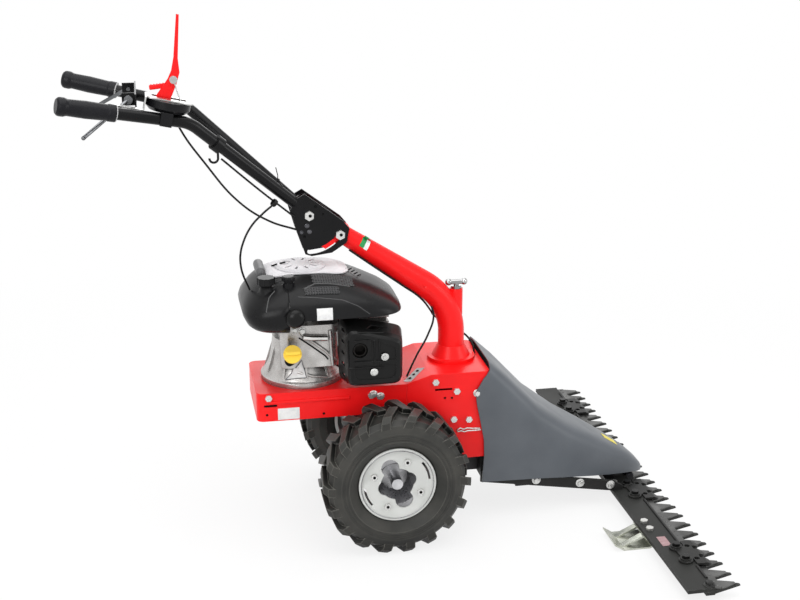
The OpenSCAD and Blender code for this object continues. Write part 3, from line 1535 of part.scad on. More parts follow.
module control_bracket() {
    x = axle_x - bracket_x;
    share = (bracket_x - bend_reach) / (grip_reach - bend_reach);
    tube_y = bend_half + (grip_span / 2 - bend_half) * share;
    low_z = bend_z + (grip_z - bend_z) * share - strap_h / 2;
    color("#242628") difference() {
        union() {
            translate([x, -tube_y, low_z]) cube([cheek_t, 2 * tube_y, strap_h]);
            translate([x, -bracket_w / 2, low_z]) cube([cheek_t, bracket_w, clutch_z + cheek_l / 2 - low_z]);
            for (side = [-1, 1])
                translate([x - cheek_l, side * cheek_y - cheek_t / 2, clutch_z - cheek_l / 2])
                    cube([cheek_l + over, cheek_t, cheek_l]);
        }
        handle_tubes(handle_r + gap, 0);
        translate([x - cheek_l / 2, 0, clutch_z]) cross_pin(clutch_pin_r + fit, bracket_w);
    }
}

module clutch_lever(side) {
    hub_y = cheek_y + cheek_t / 2 + gap + clutch_hub_l / 2;
    hub = [axle_x - bracket_x - cheek_l / 2, side * hub_y, clutch_z];
    tip = [axle_x - clutch_tip_reach, side * clutch_tip_half, clutch_tip_z];
    color("#85888a") {
        translate(hub) cross_pin(clutch_hub_r, clutch_hub_l);
        translate([hub.x, side * cheek_y, hub.z]) cross_pin(clutch_pin_r, clutch_hub_l);
        bar(hub, tip, clutch_r);
        translate(tip) sphere(r = clutch_ball_r);
    }
}

// HOOD

function hood_rings(inset) = [for (i = [0 : len(hood_x_shares) - 1])
    let (x = hood_x + hood_x_shares[i] * (hood_l - inset),
         w = max(hood_w / 2 * hood_w_shares[i] - inset, inset / 2),
         low = hood_z * hood_low_shares[i] - inset, top = hood_z * hood_top_shares[i] - inset,
         n = hood_round * hood_round_shares[i])
    [for (k = [0 : hood_sides]) let (a = 180 * k / hood_sides)
        [i == 0 ? x - inset : x, w * bow(cos(a), n), low + (top - low) * bow(sin(a), n)]]];

module hood() {
    color("#5b6066") difference() {
        loft(hood_rings(0));
        loft(hood_rings(hood_t));
        side_plate(concat([[cover_x + gap, hood_z + over]],
                          [for (s = hood_edge_shares) [hood_x + s.x * hood_l, s.y * hood_z]],
                          [[hood_x - hood_t - over, 0], [hood_x - hood_t - over, hood_z + over]]),
                   2 * hood_w);
    }
}

// CABLES

module cables(routes) {
    color("#1a1b1c") translate([axle_x, 0, 0]) for (r = routes) cable(r, cable_r, cable_steps);
}

module handle_cables() {
    cables([clutch_route, rope_route]);
}

module engine_cable() {
    cables([engine_route]);
}

module column_cable() {
    cables([column_route]);
}

module chassis_cables() {
    cables([hood_route, deck_route]);
}

tyre(1);  // tyre_left
tyre(-1);  // tyre_right
rim(1);  // rim_left
rim(-1);  // rim_right
wheel_hub(1);  // hub_left
wheel_hub(-1);  // hub_right
wheel_fasteners();
wheel_axle();
gearbox_casing();
axle_bushes();
worm_wheel();
input_shaft();
crank_disc();
engine_pulley();
input_pulley();
drive_belt();
cutter_bar();
finger_comb();
knife();
knife_head();
hold_down_clips();
bar_bolts();
skid_shoe(1);  // skid_left
skid_shoe(-1);  // skid_right
bar_support();
swing_arm();
engine_tray();
gearbox_cover();
frame_bolts();
crankcase();
oil_cap();
cylinder_block();
crankshaft();
flywheel();
muffler_guard();
muffler();
air_filter();
engine_shroud();
fuel_tank();
fuel_cap();
starter_cover();
starter_grip();
steering_column();
column_lock();
handlebar();
handle_bolts();
grip(1);  // grip_left
grip(-1);  // grip_right
console();
gate_plate();
gear_lever();
selector_wire();
control_bracket();
clutch_lever(1);  // clutch_lever_left
clutch_lever(-1);  // clutch_lever_right
hood();
handle_cables();
engine_cable();
column_cable();
chassis_cables();
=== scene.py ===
import json
import math

import bmesh
import bpy
from mathutils import Matrix, Vector
from mathutils.bvhtree import BVHTree


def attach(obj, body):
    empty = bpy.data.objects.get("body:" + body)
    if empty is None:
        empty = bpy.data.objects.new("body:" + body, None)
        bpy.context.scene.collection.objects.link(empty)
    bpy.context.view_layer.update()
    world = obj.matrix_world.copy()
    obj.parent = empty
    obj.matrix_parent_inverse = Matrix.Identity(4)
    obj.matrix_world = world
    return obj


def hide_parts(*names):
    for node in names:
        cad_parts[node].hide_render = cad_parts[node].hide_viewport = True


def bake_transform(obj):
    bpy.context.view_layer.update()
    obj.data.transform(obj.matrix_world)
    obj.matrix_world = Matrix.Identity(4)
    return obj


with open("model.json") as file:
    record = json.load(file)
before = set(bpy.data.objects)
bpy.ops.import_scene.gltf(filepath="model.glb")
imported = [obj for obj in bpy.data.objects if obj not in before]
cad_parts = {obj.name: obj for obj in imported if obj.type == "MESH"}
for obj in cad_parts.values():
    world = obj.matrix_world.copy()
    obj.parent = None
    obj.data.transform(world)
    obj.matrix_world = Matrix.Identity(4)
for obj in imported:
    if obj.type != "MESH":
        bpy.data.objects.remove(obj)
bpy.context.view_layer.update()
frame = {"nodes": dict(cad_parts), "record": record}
nodes = frame["nodes"]
print("frame loaded:", len(nodes), "nodes")

# the axle sits a little ahead of the middle of the whole machine, in m; its height is in mm
axleX = 0.00106
axleHeight = 165


def fromAxle(x, y, z):
    # millimetres from the axle's middle, on the floor, to the shared frame
    return Vector((x / 1000 + axleX, y / 1000, z / 1000))


# camera: same stand point as the photograph
cameraSet = {
    "place": (-0.4986, -2.8853, 1.4874),
    "turn": -10.757,
    "down": 18.34,
    "lens": 61.294,
    "chip": 36,
    "reach": 60,
    "picture": (800, 600),
}


def placeCamera(spec):
    data = bpy.data.cameras.new("photoCamera")
    data.lens = spec["lens"]
    data.sensor_width = spec["chip"]
    data.clip_end = spec["reach"]
    cam = bpy.data.objects.new("photoCamera", data)
    cam.location = spec["place"]
    cam.rotation_euler = (math.radians(90 - spec["down"]), 0, math.radians(spec["turn"]))
    bpy.context.scene.collection.objects.link(cam)
    bpy.context.scene.camera = cam


placeCamera(cameraSet)
print("camera placed")


# shared node steps
def startMaterial(name):
    mat = bpy.data.materials.new(name)
    mat.use_nodes = True
    tree = mat.node_tree
    spot = tree.nodes.new("ShaderNodeTexCoord").outputs["Object"]
    return mat, tree, tree.nodes["Principled BSDF"], spot


def feed(tree, value, socket):
    # links an output of an earlier node, or sets a plain value
    if isinstance(value, bpy.types.NodeSocket):
        tree.links.new(value, socket)
    else:
        socket.default_value = value


def setSurface(tree, shader, settings):
    for name, value in settings.items():
        feed(tree, value, shader.inputs[name])


def noiseOf(tree, spot, scale, detail, stretch=None):
    if stretch:
        turn = tree.nodes.new("ShaderNodeMapping")
        turn.inputs["Scale"].default_value = stretch
        tree.links.new(spot, turn.inputs["Vector"])
        spot = turn.outputs["Vector"]
    cloud = tree.nodes.new("ShaderNodeTexNoise")
    cloud.inputs["Scale"].default_value = scale
    cloud.inputs["Detail"].default_value = detail
    tree.links.new(spot, cloud.inputs["Vector"])
    return cloud.outputs["Fac"]


def spread(tree, value, low, high, outLow, outHigh):
    step = tree.nodes.new("ShaderNodeMapRange")
    step.inputs["From Min"].default_value = low
    step.inputs["From Max"].default_value = high
    step.inputs["To Min"].default_value = outLow
    step.inputs["To Max"].default_value = outHigh
    tree.links.new(value, step.inputs["Value"])
    return step.outputs["Result"]


def mathOf(tree, operation, first, second):
    step = tree.nodes.new("ShaderNodeMath")
    step.operation = operation
    feed(tree, first, step.inputs[0])
    feed(tree, second, step.inputs[1])
    return step.outputs[0]


def between(tree, share, first, second):
    # first and second are colours, or colour outputs of earlier nodes
    mix = tree.nodes.new("ShaderNodeMix")
    mix.data_type = "RGBA"
    tree.links.new(share, mix.inputs[0])
    for socket, colour in ((mix.inputs[6], first), (mix.inputs[7], second)):
        feed(tree, (*colour, 1) if isinstance(colour, tuple) else colour, socket)
    return mix.outputs[2]


noiseBand = (0.3, 0.7)       # most of a noise's values lie in here
wideBand = (0.25, 0.75)


def mottled(tree, cloud, tone, shade, band=noiseBand):
    # one tone that runs into another with a noise
    return between(tree, spread(tree, cloud, *band, 0, 1), tone, shade)


def toned(colour, share):
    # a colour made darker or paler
    return tuple(min(1, share * part) for part in colour)


def softEdges(tree, radius):
    rounding = tree.nodes.new("ShaderNodeBevel")
    rounding.samples = 4
    rounding.inputs["Radius"].default_value = radius
    return rounding.outputs["Normal"]


def edgeMask(tree, rounded, start, end):
    # where the rounded normal leaves the flat one, an edge is near
    flat = tree.nodes.new("ShaderNodeNewGeometry")
    dot = tree.nodes.new("ShaderNodeVectorMath")
    dot.operation = "DOT_PRODUCT"
    tree.links.new(rounded, dot.inputs[0])
    tree.links.new(flat.outputs["Normal"], dot.inputs[1])
    return spread(tree, dot.outputs["Value"], start, end, 0, 1)


def paintedCreviceShade(tree, reach, low, high):
    # painted shade: one in the open, falling where other faces stand close
    near = tree.nodes.new("ShaderNodeAmbientOcclusion")
    near.samples = 6
    near.inputs["Distance"].default_value = reach
    return spread(tree, near.outputs["AO"], low, high, 0, 1)


def bumpOf(tree, height, depth, strength, normal):
    bump = tree.nodes.new("ShaderNodeBump")
    bump.inputs["Strength"].default_value = strength
    bump.inputs["Distance"].default_value = depth
    tree.links.new(height, bump.inputs["Height"])
    tree.links.new(normal, bump.inputs["Normal"])
    return bump.outputs["Normal"]


# floor, soft boxes and world
studioSet = {
    "floorSize": 30,
    "floorDrop": 0.0005,
    "floorTone": (0.9, 0.9, 0.9, 1),
    "floorGlow": 0.8,        # how much of the floor reads as plain white near the machine
    "fade": (0.7, 2.2),      # from here to there it turns all white
    "worldLevel": 0.5,
    "boxes": [               # name, place, aim, size, power
        ("topBox", (-0.2, -0.4, 3.2), (0, 0, 0.3), 3.0, 62),
        ("frontBox", (-1.9, -3.0, 2.0), (0, 0, 0.4), 1.8, 50),
        ("sideBox", (2.8, -1.6, 1.6), (0.2, 0, 0.3), 1.6, 24),
        ("backBox", (0.4, 2.8, 2.2), (0, 0, 0.5), 2.0, 22),
    ],
}


def whiteFor(tree, level):
    # white to the camera, to mirrors and through glass; plain light to the rest
    rays = tree.nodes.new("ShaderNodeLightPath").outputs
    seen = mathOf(tree, "MAXIMUM", rays["Is Camera Ray"], rays["Is Glossy Ray"])
    both = mathOf(tree, "MAXIMUM", seen, rays["Is Transmission Ray"])
    return mathOf(tree, "MULTIPLY", both, level)


def lightRoom(spec):
    world = bpy.data.worlds.new("softRoom")
    bpy.context.scene.world = world
    world.use_nodes = True
    tree = world.node_tree
    level = mathOf(tree, "ADD", whiteFor(tree, 1 - spec["worldLevel"]), spec["worldLevel"])
    setSurface(tree, tree.nodes["Background"], {"Color": (1, 1, 1, 1), "Strength": level})


def floorPaper(spec):
    mat, tree, shader, spot = startMaterial("floorPaper")
    setSurface(tree, shader, {
        "Base Color": spec["floorTone"],
        "Roughness": 0.9,
        "Specular IOR Level": 0.1,
    })
    away = tree.nodes.new("ShaderNodeVectorMath")
    away.operation = "LENGTH"
    tree.links.new(spot, away.inputs[0])
    share = spread(tree, away.outputs["Value"], *spec["fade"], spec["floorGlow"], 1)
    glow = tree.nodes.new("ShaderNodeEmission")
    mix = tree.nodes.new("ShaderNodeMixShader")
    tree.links.new(mathOf(tree, "MULTIPLY", share, whiteFor(tree, 1)), mix.inputs[0])
    tree.links.new(shader.outputs[0], mix.inputs[1])
    tree.links.new(glow.outputs[0], mix.inputs[2])
    tree.links.new(mix.outputs[0], tree.nodes["Material Output"].inputs["Surface"])
    return mat


def layFloor(spec):
    mesh = bpy.data.meshes.new("floor")
    bm = bmesh.new()
    bmesh.ops.create_grid(bm, x_segments=1, y_segments=1, size=spec["floorSize"] / 2)
    bmesh.ops.translate(bm, vec=(0, 0, -spec["floorDrop"]), verts=bm.verts)
    bm.to_mesh(mesh)
    bm.free()
    mesh.materials.append(floorPaper(spec))
    floor = bpy.data.objects.new("floor", mesh)
    bpy.context.scene.collection.objects.link(floor)


def hangBoxes(spec):
    for name, place, aim, size, power in spec["boxes"]:
        lamp = bpy.data.lights.new(name, "AREA")
        lamp.shape = "SQUARE"
        lamp.size = size
        lamp.energy = power
        box = bpy.data.objects.new(name, lamp)
        box.location = place
        box.rotation_euler = (Vector(place) - Vector(aim)).to_track_quat("Z", "Y").to_euler()
        bpy.context.scene.collection.objects.link(box)


bpy.context.scene.view_settings.view_transform = "Standard"
lightRoom(studioSet)
layFloor(studioSet)
hangBoxes(studioSet)
print("studio lit")


# gloss paint over sheet metal: orange peel, faint dust, thin edges
def glossPaint(name, tone, shade, rough, coat, edge=0.0008, shine=0.3, bare=None):
    mat, tree, shader, spot = startMaterial(name)
    dust = noiseOf(tree, spot, scale=9, detail=5)
    peel = noiseOf(tree, spot, scale=420, detail=2)
    rounded = softEdges(tree, edge)
    rubbed = edgeMask(tree, rounded, start=0.995, end=0.9)
    worn = spread(tree, noiseOf(tree, spot, scale=60, detail=4), 0.35, 0.75, 0, 0.9 if bare else 0.5)
    edgeTone = bare or tuple(min(1, 0.05 + 1.25 * part) for part in tone)     # a little paler
    wear = mathOf(tree, "MULTIPLY", rubbed, worn)
    setSurface(tree, shader, {
        "Base Color": between(tree, wear, mottled(tree, dust, tone, shade), edgeTone),
        "Roughness": spread(tree, dust, *wideBand, rough, rough * 1.6),
        "Normal": bumpOf(tree, peel, depth=0.0002, strength=0.08, normal=rounded),
        "Specular IOR Level": shine,
        "Coat Weight": coat,
        "Coat Roughness": 0.12,
    })
    return mat


# moulded plastic: fine grain, cloudy sheen
def mouldedPlastic(name, tone, shade, rough, grain, edge=0.001, shine=0.25):
    mat, tree, shader, spot = startMaterial(name)
    cloud = noiseOf(tree, spot, scale=14, detail=5)
    fine = noiseOf(tree, spot, scale=grain, detail=2)
    setSurface(tree, shader, {
        "Base Color": mottled(tree, cloud, tone, shade),
        "Roughness": spread(tree, cloud, *wideBand, rough * 0.85, rough * 1.2),
        "Normal": bumpOf(tree, fine, depth=0.0003, strength=0.15, normal=softEdges(tree, edge)),
        "Specular IOR Level": shine,
    })
    return mat


# bare, plated or ground steel: streaks along one way, smudges
def platedSteel(name, tone, shade, rough, streak=(1, 1, 1), metal=1.0):
    mat, tree, shader, spot = startMaterial(name)
    smudge = noiseOf(tree, spot, scale=25, detail=5)
    lines = noiseOf(tree, spot, scale=160, detail=3, stretch=streak)
    setSurface(tree, shader, {
        "Base Color": mottled(tree, smudge, tone, shade),
        "Roughness": spread(tree, lines, *noiseBand, rough * 0.75, rough * 1.3),
        "Normal": bumpOf(tree, lines, depth=0.0002, strength=0.12, normal=softEdges(tree, radius=0.0006)),
        "Metallic": metal,
    })
    return mat


# die-cast or sand-cast metal: pitted skin, darker in the clouds, painted shade in its crevices, bright on
# the edges
def castMetal(name, tone, shade, rough, metal, pits):
    mat, tree, shader, spot = startMaterial(name)
    cloud = noiseOf(tree, spot, scale=30, detail=6)
    skin = noiseOf(tree, spot, scale=pits, detail=4)
    rounded = softEdges(tree, radius=0.0012)
    bright = edgeMask(tree, rounded, start=0.99, end=0.85)
    base = mottled(tree, cloud, tone, shade)
    # painted shade: the base turns near-black where other faces stand close
    deep = between(tree, paintedCreviceShade(tree, reach=0.03, low=0.3, high=0.9), toned(shade, 0.2), base)
    edgeTone = toned(tone, 1.5)
    setSurface(tree, shader, {
        "Base Color": between(tree, spread(tree, bright, 0, 1, 0, 0.5), deep, edgeTone),
        "Roughness": spread(tree, skin, *noiseBand, rough * 0.8, rough * 1.25),
        "Normal": bumpOf(tree, skin, depth=0.0005, strength=0.3, normal=rounded),
        "Metallic": metal,
    })
    return mat


# rubber: matte, dusty in places, darker in its crevices as painted shade, paler on the edges as scuffs and
# painted highlight
def mouldedRubber(name, tone, dustTone, rough, grain, edge=0.0015, shine=0.25, pale=1.9, reach=0.01):
    mat, tree, shader, spot = startMaterial(name)
    dust = noiseOf(tree, spot, scale=18, detail=6)
    fine = noiseOf(tree, spot, scale=grain, detail=3)
    rounded = softEdges(tree, edge)
    # paler edges: partly scuffs, partly painted highlight
    scuffAndHighlight = edgeMask(tree, rounded, start=0.99, end=0.8)
    base = mottled(tree, dust, tone, dustTone, band=(0.4, 0.75))
    # painted shade: the base turns near-black where other faces stand close
    deep = between(tree, paintedCreviceShade(tree, reach=reach, low=0.45, high=0.9), toned(tone, 0.12), base)
    edgeTone = toned(dustTone, pale)
    setSurface(tree, shader, {
        "Base Color": between(tree, spread(tree, scuffAndHighlight, 0, 1, 0, 0.6), deep, edgeTone),
        "Roughness": spread(tree, dust, *noiseBand, rough * 0.9, min(1, rough * 1.15)),
        "Normal": bumpOf(tree, fine, depth=0.0006, strength=0.25, normal=rounded),
        "Specular IOR Level": shine,
    })
    return mat


# blank film: one plain tone, faintly smudged
def blankFilm(name, tone, shade):
    mat, tree, shader, spot = startMaterial(name)
    marks = noiseOf(tree, spot, scale=90, detail=4)
    setSurface(tree, shader, {
        "Base Color": mottled(tree, marks, tone, shade, band=(0.35, 0.7)),
        "Roughness": spread(tree, marks, *noiseBand, 0.35, 0.5),
        "Specular IOR Level": 0.3,
    })
    return mat


# bar bolts: black with the clips, bright zinc behind them on the skid and the foot
def twoToneBolts(name, line):
    mat, tree, shader, spot = startMaterial(name)
    smudge = noiseOf(tree, spot, scale=60, detail=4)
    axes = tree.nodes.new("ShaderNodeSeparateXYZ")
    tree.links.new(spot, axes.inputs[0])
    front = mathOf(tree, "GREATER_THAN", axes.outputs["X"], line)
    zinc = mottled(tree, smudge, (0.72, 0.72, 0.7), (0.5, 0.5, 0.48))
    black = mottled(tree, smudge, (0.03, 0.03, 0.03), (0.014, 0.014, 0.014))
    setSurface(tree, shader, {
        "Base Color": between(tree, front, zinc, black),
        "Roughness": spread(tree, smudge, *noiseBand, 0.24, 0.4),
        "Normal": softEdges(tree, radius=0.0008),
        "Metallic": 0.85,
    })
    return mat


finishes = {
    # tyre: lug edges much paler as scuffs and painted highlight, gaps between the lugs darkened as painted
    # shade
    "tyre_rubber": mouldedRubber("tyreRubber", (0.032, 0.032, 0.029), (0.056, 0.054, 0.048),
                                 rough=0.46, grain=240, edge=0.0035, shine=0.22, pale=4.2, reach=0.08),
    "rim_silver": glossPaint("rimSilver", (0.63, 0.64, 0.62), (0.55, 0.56, 0.54), rough=0.34, coat=0.1),
    "hub_steel": platedSteel("hubSteel", (0.4, 0.4, 0.41), (0.2, 0.2, 0.205), rough=0.3),
    "zinc_bolts": platedSteel("brightZinc", (0.74, 0.74, 0.72), (0.5, 0.5, 0.49), rough=0.26, metal=0.7),
    "shaft_steel": platedSteel("groundSteel", (0.66, 0.66, 0.67), (0.42, 0.42, 0.44),
                               rough=0.2, streak=(1, 0.1, 1)),
    "gearbox_iron": castMetal("gearboxIron", (0.02, 0.02, 0.022), (0.01, 0.01, 0.012),
                              rough=0.5, metal=0.2, pits=260),
    "bronze": platedSteel("turnedBronze", (0.62, 0.42, 0.17), (0.45, 0.29, 0.11), rough=0.3),
    "drive_steel": platedSteel("darkDriveSteel", (0.14, 0.14, 0.15), (0.08, 0.08, 0.09), rough=0.38),
    "pulley_alloy": platedSteel("turnedAlloy", (0.6, 0.61, 0.62), (0.45, 0.46, 0.47), rough=0.3),
    "belt_rubber": mouldedRubber("beltRubber", (0.02, 0.02, 0.022), (0.04, 0.04, 0.04),
                                 rough=0.75, grain=500, edge=0.0006),
    "bar_steel": glossPaint("barPaint", (0.018, 0.0185, 0.017), (0.028, 0.0285, 0.027),
                            rough=0.4, coat=0.0, edge=0.0014, shine=0.18, bare=(0.2, 0.2, 0.19)),
    "knife_steel": platedSteel("knifeSteel", (0.16, 0.16, 0.157), (0.06, 0.06, 0.058),
                               rough=0.34, streak=(0.15, 1, 1), metal=0.8),
    "clip_steel": glossPaint("clipPaint", (0.01, 0.01, 0.01), (0.02, 0.02, 0.019),
                             rough=0.34, coat=0.0, edge=0.0014, shine=0.22, bare=(0.15, 0.15, 0.145)),
    "skid_zinc": platedSteel("skidZinc", (0.62, 0.63, 0.56), (0.4, 0.42, 0.36),
                             rough=0.34, streak=(0.2, 1, 1), metal=0.9),
    "red_paint": glossPaint("redPaint", (0.95, 0.009, 0.01), (0.86, 0.006, 0.007),
                            rough=0.3, coat=0.08, edge=0.0012, shine=0.2),
    "engine_alloy": castMetal("engineAlloy", (0.62, 0.605, 0.59), (0.4, 0.385, 0.37),
                              rough=0.3, metal=0.85, pits=320),
    "oil_cap_yellow": mouldedPlastic("capYellow", (0.97, 0.68, 0.08), (0.88, 0.58, 0.05),
                                     rough=0.35, grain=500),
    "guard_black": glossPaint("guardPaint", (0.005, 0.005, 0.005), (0.009, 0.009, 0.009),
                              rough=0.26, coat=0.05, edge=0.0018, shine=0.16),
    "muffler_steel": platedSteel("mufflerSteel", (0.03, 0.028, 0.027), (0.015, 0.014, 0.013), rough=0.5),
    "shroud_plastic": mouldedPlastic("shroudPlastic", (0.008, 0.008, 0.0085), (0.011, 0.011, 0.0115),
                                     rough=0.28, grain=700, edge=0.0025, shine=0.14),
    "starter_grey": mouldedPlastic("starterGrey", (0.72, 0.71, 0.73), (0.58, 0.57, 0.59),
                                   rough=0.34, grain=600),
    "lock_steel": platedSteel("lockChrome", (0.55, 0.55, 0.55), (0.25, 0.25, 0.25), rough=0.18),
    "handle_black": glossPaint("handlePaint", (0.004, 0.004, 0.0045), (0.007, 0.007, 0.0075),
                               rough=0.2, coat=0.03, shine=0.14),
    "grip_rubber": mouldedRubber("gripRubber", (0.009, 0.009, 0.011), (0.014, 0.014, 0.016),
                                 rough=0.36, grain=700, edge=0.001, shine=0.14, pale=1.6),
    "console_plastic": mouldedPlastic("consolePlastic", (0.005, 0.005, 0.006), (0.009, 0.009, 0.01),
                                      rough=0.24, grain=600, edge=0.002, shine=0.16),
    "gate_zinc": platedSteel("gateZinc", (0.66, 0.66, 0.65), (0.44, 0.44, 0.43),
                             rough=0.28, streak=(0.3, 1, 1)),
    "lever_steel": platedSteel("leverSteel", (0.22, 0.225, 0.235), (0.13, 0.135, 0.14), rough=0.35),
    "hood_grey": mouldedPlastic("hoodGrey", (0.105, 0.116, 0.131), (0.088, 0.098, 0.111),
                                rough=0.34, grain=650, edge=0.0015, shine=0.3),
    "cable_black": mouldedPlastic("cableSheath", (0.006, 0.006, 0.006), (0.011, 0.011, 0.011),
                                  rough=0.34, grain=500, edge=0.0005, shine=0.15),
}
extraFinishes = {
    # near-black put where holes, slots, sockets and pockets would hold shade: painted shade
    "pocketShadeBlack": mouldedPlastic("pocketShadeBlack", (0.003, 0.003, 0.003), (0.005, 0.005, 0.005),
                                  rough=0.6, grain=500, edge=0.0005, shine=0.08),
    # grey webs of the cover screens, paler than the cover as painted highlight
    "screenHighlightGrey": mouldedPlastic("screenHighlightGrey", (0.085, 0.085, 0.087), (0.05, 0.05, 0.052),
                                 rough=0.3, grain=700, edge=0.0005, shine=0.4),
    # a paler, glossier copy of the cover's plastic for its raised lines: painted highlight
    "ridgeHighlight": mouldedPlastic("ridgeHighlight", (0.03, 0.03, 0.031), (0.02, 0.02, 0.021),
                                 rough=0.2, grain=700, edge=0.0005, shine=0.6),
    "pullGrey": mouldedPlastic("pullGrey", (0.15, 0.15, 0.153), (0.1, 0.1, 0.103), rough=0.36, grain=600),
    # a paler copy of the engine alloy, for the breather pipe: painted highlight
    "highlightAlloy": platedSteel("highlightAlloy", (0.8, 0.79, 0.77), (0.6, 0.59, 0.57), rough=0.2),
    "whiteFilm": blankFilm("whiteFilm", (0.8, 0.8, 0.79), (0.68, 0.68, 0.68)),
    "greyFilm": blankFilm("greyFilm", (0.5, 0.5, 0.5), (0.38, 0.38, 0.38)),
    "greenFilm": blankFilm("greenFilm", (0.03, 0.3, 0.09), (0.02, 0.24, 0.07)),
    "yellowFilm": blankFilm("yellowFilm", (0.78, 0.66, 0.08), (0.68, 0.56, 0.06)),
    "pinkFilm": blankFilm("pinkFilm", (0.42, 0.27, 0.28), (0.34, 0.2, 0.21)),
    "barBolts": twoToneBolts("barBoltTones", line=0.577),
    "lugRing": mouldedRubber("sidewallRubber", (0.034, 0.034, 0.032), (0.056, 0.055, 0.05),
                             rough=0.6, grain=300),
}


def dressNodes():
    for part in frame["record"]["subparts"]:
        mesh = nodes[part["node"]].data
        mesh.materials.clear()
        mesh.materials.append(finishes[part["material_slot"]])
    nodes["bar_bolts"].data.materials[0] = extraFinishes["barBolts"]
    nodes["starter_grip"].data.materials[0] = extraFinishes["pullGrey"]


dressNodes()
print("finishes on", len(nodes), "nodes")

# shared modelling steps
rayStart = {"beside": 400, "above": 800}     # mm, clear of every piece that is searched
mergeDist = 1e-6


def surfaceOf(*names):
    # one search tree over the meshes of some nodes
    bm = bmesh.new()
    for name in names:
        bm.from_mesh(nodes[name].data)
    tree = BVHTree.FromBMesh(bm)
    bm.free()
    return tree


def photoWay(u, v):
    # the line of sight through one point of the picture
    wide, tall = cameraSet["picture"]
    focal = cameraSet["lens"] / cameraSet["chip"] * wide
    cam = bpy.context.scene.camera
    return cam.rotation_euler.to_matrix() @ Vector(((u - wide / 2) / focal, (tall / 2 - v) / focal, -1))


def seenAt(tree, u, v):
    place, normal, _, _ = tree.ray_cast(Vector(cameraSet["place"]), photoWay(u, v))
    return place, normal


def seenLine(tree, points):
    return [place for place, _ in (seenAt(tree, u, v) for u, v in points) if place]


def topAt(tree, x, y):
    place, normal, _, _ = tree.ray_cast(fromAxle(x, y, rayStart["above"]), (0, 0, -1))
    return place, normal


def sideAt(tree, x, z, side=-1):
    place, normal, _, _ = tree.ray_cast(fromAxle(x, side * rayStart["beside"], z), (0, -side, 0))
    return place, normal


def standOn(place, out):
    # a frame with its Z axis pointing away from the surface
    return Matrix.Translation(place) @ Vector(out).to_track_quat("Z", "Y").to_matrix().to_4x4()


def traceOn(tree, points, steps, lift):
    # walks a line of points over a surface
    stops = [a.lerp(b, k / steps) for a, b in zip(points, points[1:]) for k in range(steps)]
    path = []
    for stop in stops + points[-1:]:
        place, normal, _, _ = tree.find_nearest(stop)
        path.append(place + normal * lift)
    return path


def drawLine(points, radius, fineness, smooth=False):
    # a round wire through some points; a smooth one curves, the others run straight between them
    curve = bpy.data.curves.new("line", "CURVE")
    curve.dimensions = "3D"
    curve.bevel_depth = radius
    curve.bevel_resolution = fineness
    curve.resolution_u = 10
    curve.use_fill_caps = True
    if smooth:
        knots = curve.splines.new("BEZIER").bezier_points
    else:
        knots = curve.splines.new("POLY").points
    knots.add(len(points) - 1)
    for knot, point in zip(knots, points):
        knot.co = point if smooth else (*point, 1)
        if smooth:
            knot.handle_left_type = "AUTO"
            knot.handle_right_type = "AUTO"
    return bpy.data.objects.new("line", curve)


def dropLine(line):
    curve = line.data
    bpy.data.objects.remove(line)
    bpy.data.curves.remove(curve)


def addWire(bm, path, radius, fineness=3):
    line = drawLine(path, radius, fineness)
    mesh = bpy.data.meshes.new_from_object(line)
    bm.from_mesh(mesh)
    bpy.data.meshes.remove(mesh)
    dropLine(line)


def addSeenWire(bm, tree, points, radius, lift, steps=6, fineness=3):
    # a wire laid on a surface along picture points
    path = seenLine(tree, points)
    if len(path) > 1:
        addWire(bm, traceOn(tree, path, steps, lift), radius, fineness)


def addTurned(bm, profile, place, steps=32):
    # a profile of radius and height, spun round the Z axis and then placed
    before = set(bm.verts)
    verts = [bm.verts.new((r, 0, z)) for r, z in profile]
    edges = [bm.edges.new(pair) for pair in zip(verts, verts[1:])]
    bmesh.ops.spin(bm, geom=verts + edges, cent=(0, 0, 0), axis=(0, 0, 1), angle=2 * math.pi,
                   steps=steps, use_merge=True, use_duplicate=False)
    bmesh.ops.remove_doubles(bm, verts=[v for v in bm.verts if v not in before], dist=mergeDist)
    bmesh.ops.transform(bm, matrix=place, verts=[v for v in bm.verts if v not in before])


boltShape = {
    "washerTall": 0.25,      # share of the head's height
    "washerWide": 1.3,       # share of the head, where no width is given
    "washerEdge": (0.94, 0.7),     # shares of its width and height where its edge falls away
    "crown": 0.14,           # how far the head's corners are softened, as a share of it
}


def addBolt(bm, place, out, head, height, washer):
    # hexagon head with a softened crown, on a washer
    stand = standOn(place, out)
    base = height * boltShape["washerTall"]
    inner, lower = boltShape["washerEdge"]
    profile = [(0, 0), (washer, 0), (washer, base * lower), (washer * inner, base), (0, base)]
    addTurned(bm, profile, stand, steps=24)
    made = bmesh.ops.create_cone(bm, cap_ends=True, segments=6, radius1=head, radius2=head, depth=height,
                                 matrix=stand @ Matrix.Translation((0, 0, base + height / 2)))
    out = Vector(out).normalized()
    crown = [f for f in {f for v in made["verts"] for f in v.link_faces} if f.normal.dot(out) > 0.9]
    bmesh.ops.bevel(bm, geom=[e for f in crown for e in f.edges], offset=head * boltShape["crown"],
                    segments=2, profile=0.5, affect="EDGES", material=-1)


def addSeenBolts(bm, tree, spots, height):
    # each spot is a picture point and the size of the head; its washer is a little wider
    for u, v, head in spots:
        addBolt(bm, *seenAt(tree, u, v), head, height, head * boltShape["washerWide"])


def addHole(bm, place, out, radius):
    # a punched hole, as a floor inside a slightly raised lip; its floor is drawn dark as painted shade in
    # the hole
    floor, lip, edge = 0.0003, 0.0009, 0.0005      # heights over the surface
    inner, crest = radius * 0.8, radius * 0.9
    profile = [(0, floor), (inner, floor), (crest, lip), (radius, edge), (radius, -edge)]
    addTurned(bm, profile, standOn(place, out), steps=20)


def addSeenHoles(bm, tree, spots):
    for u, v, radius in spots:
        addHole(bm, *seenAt(tree, u, v), radius)


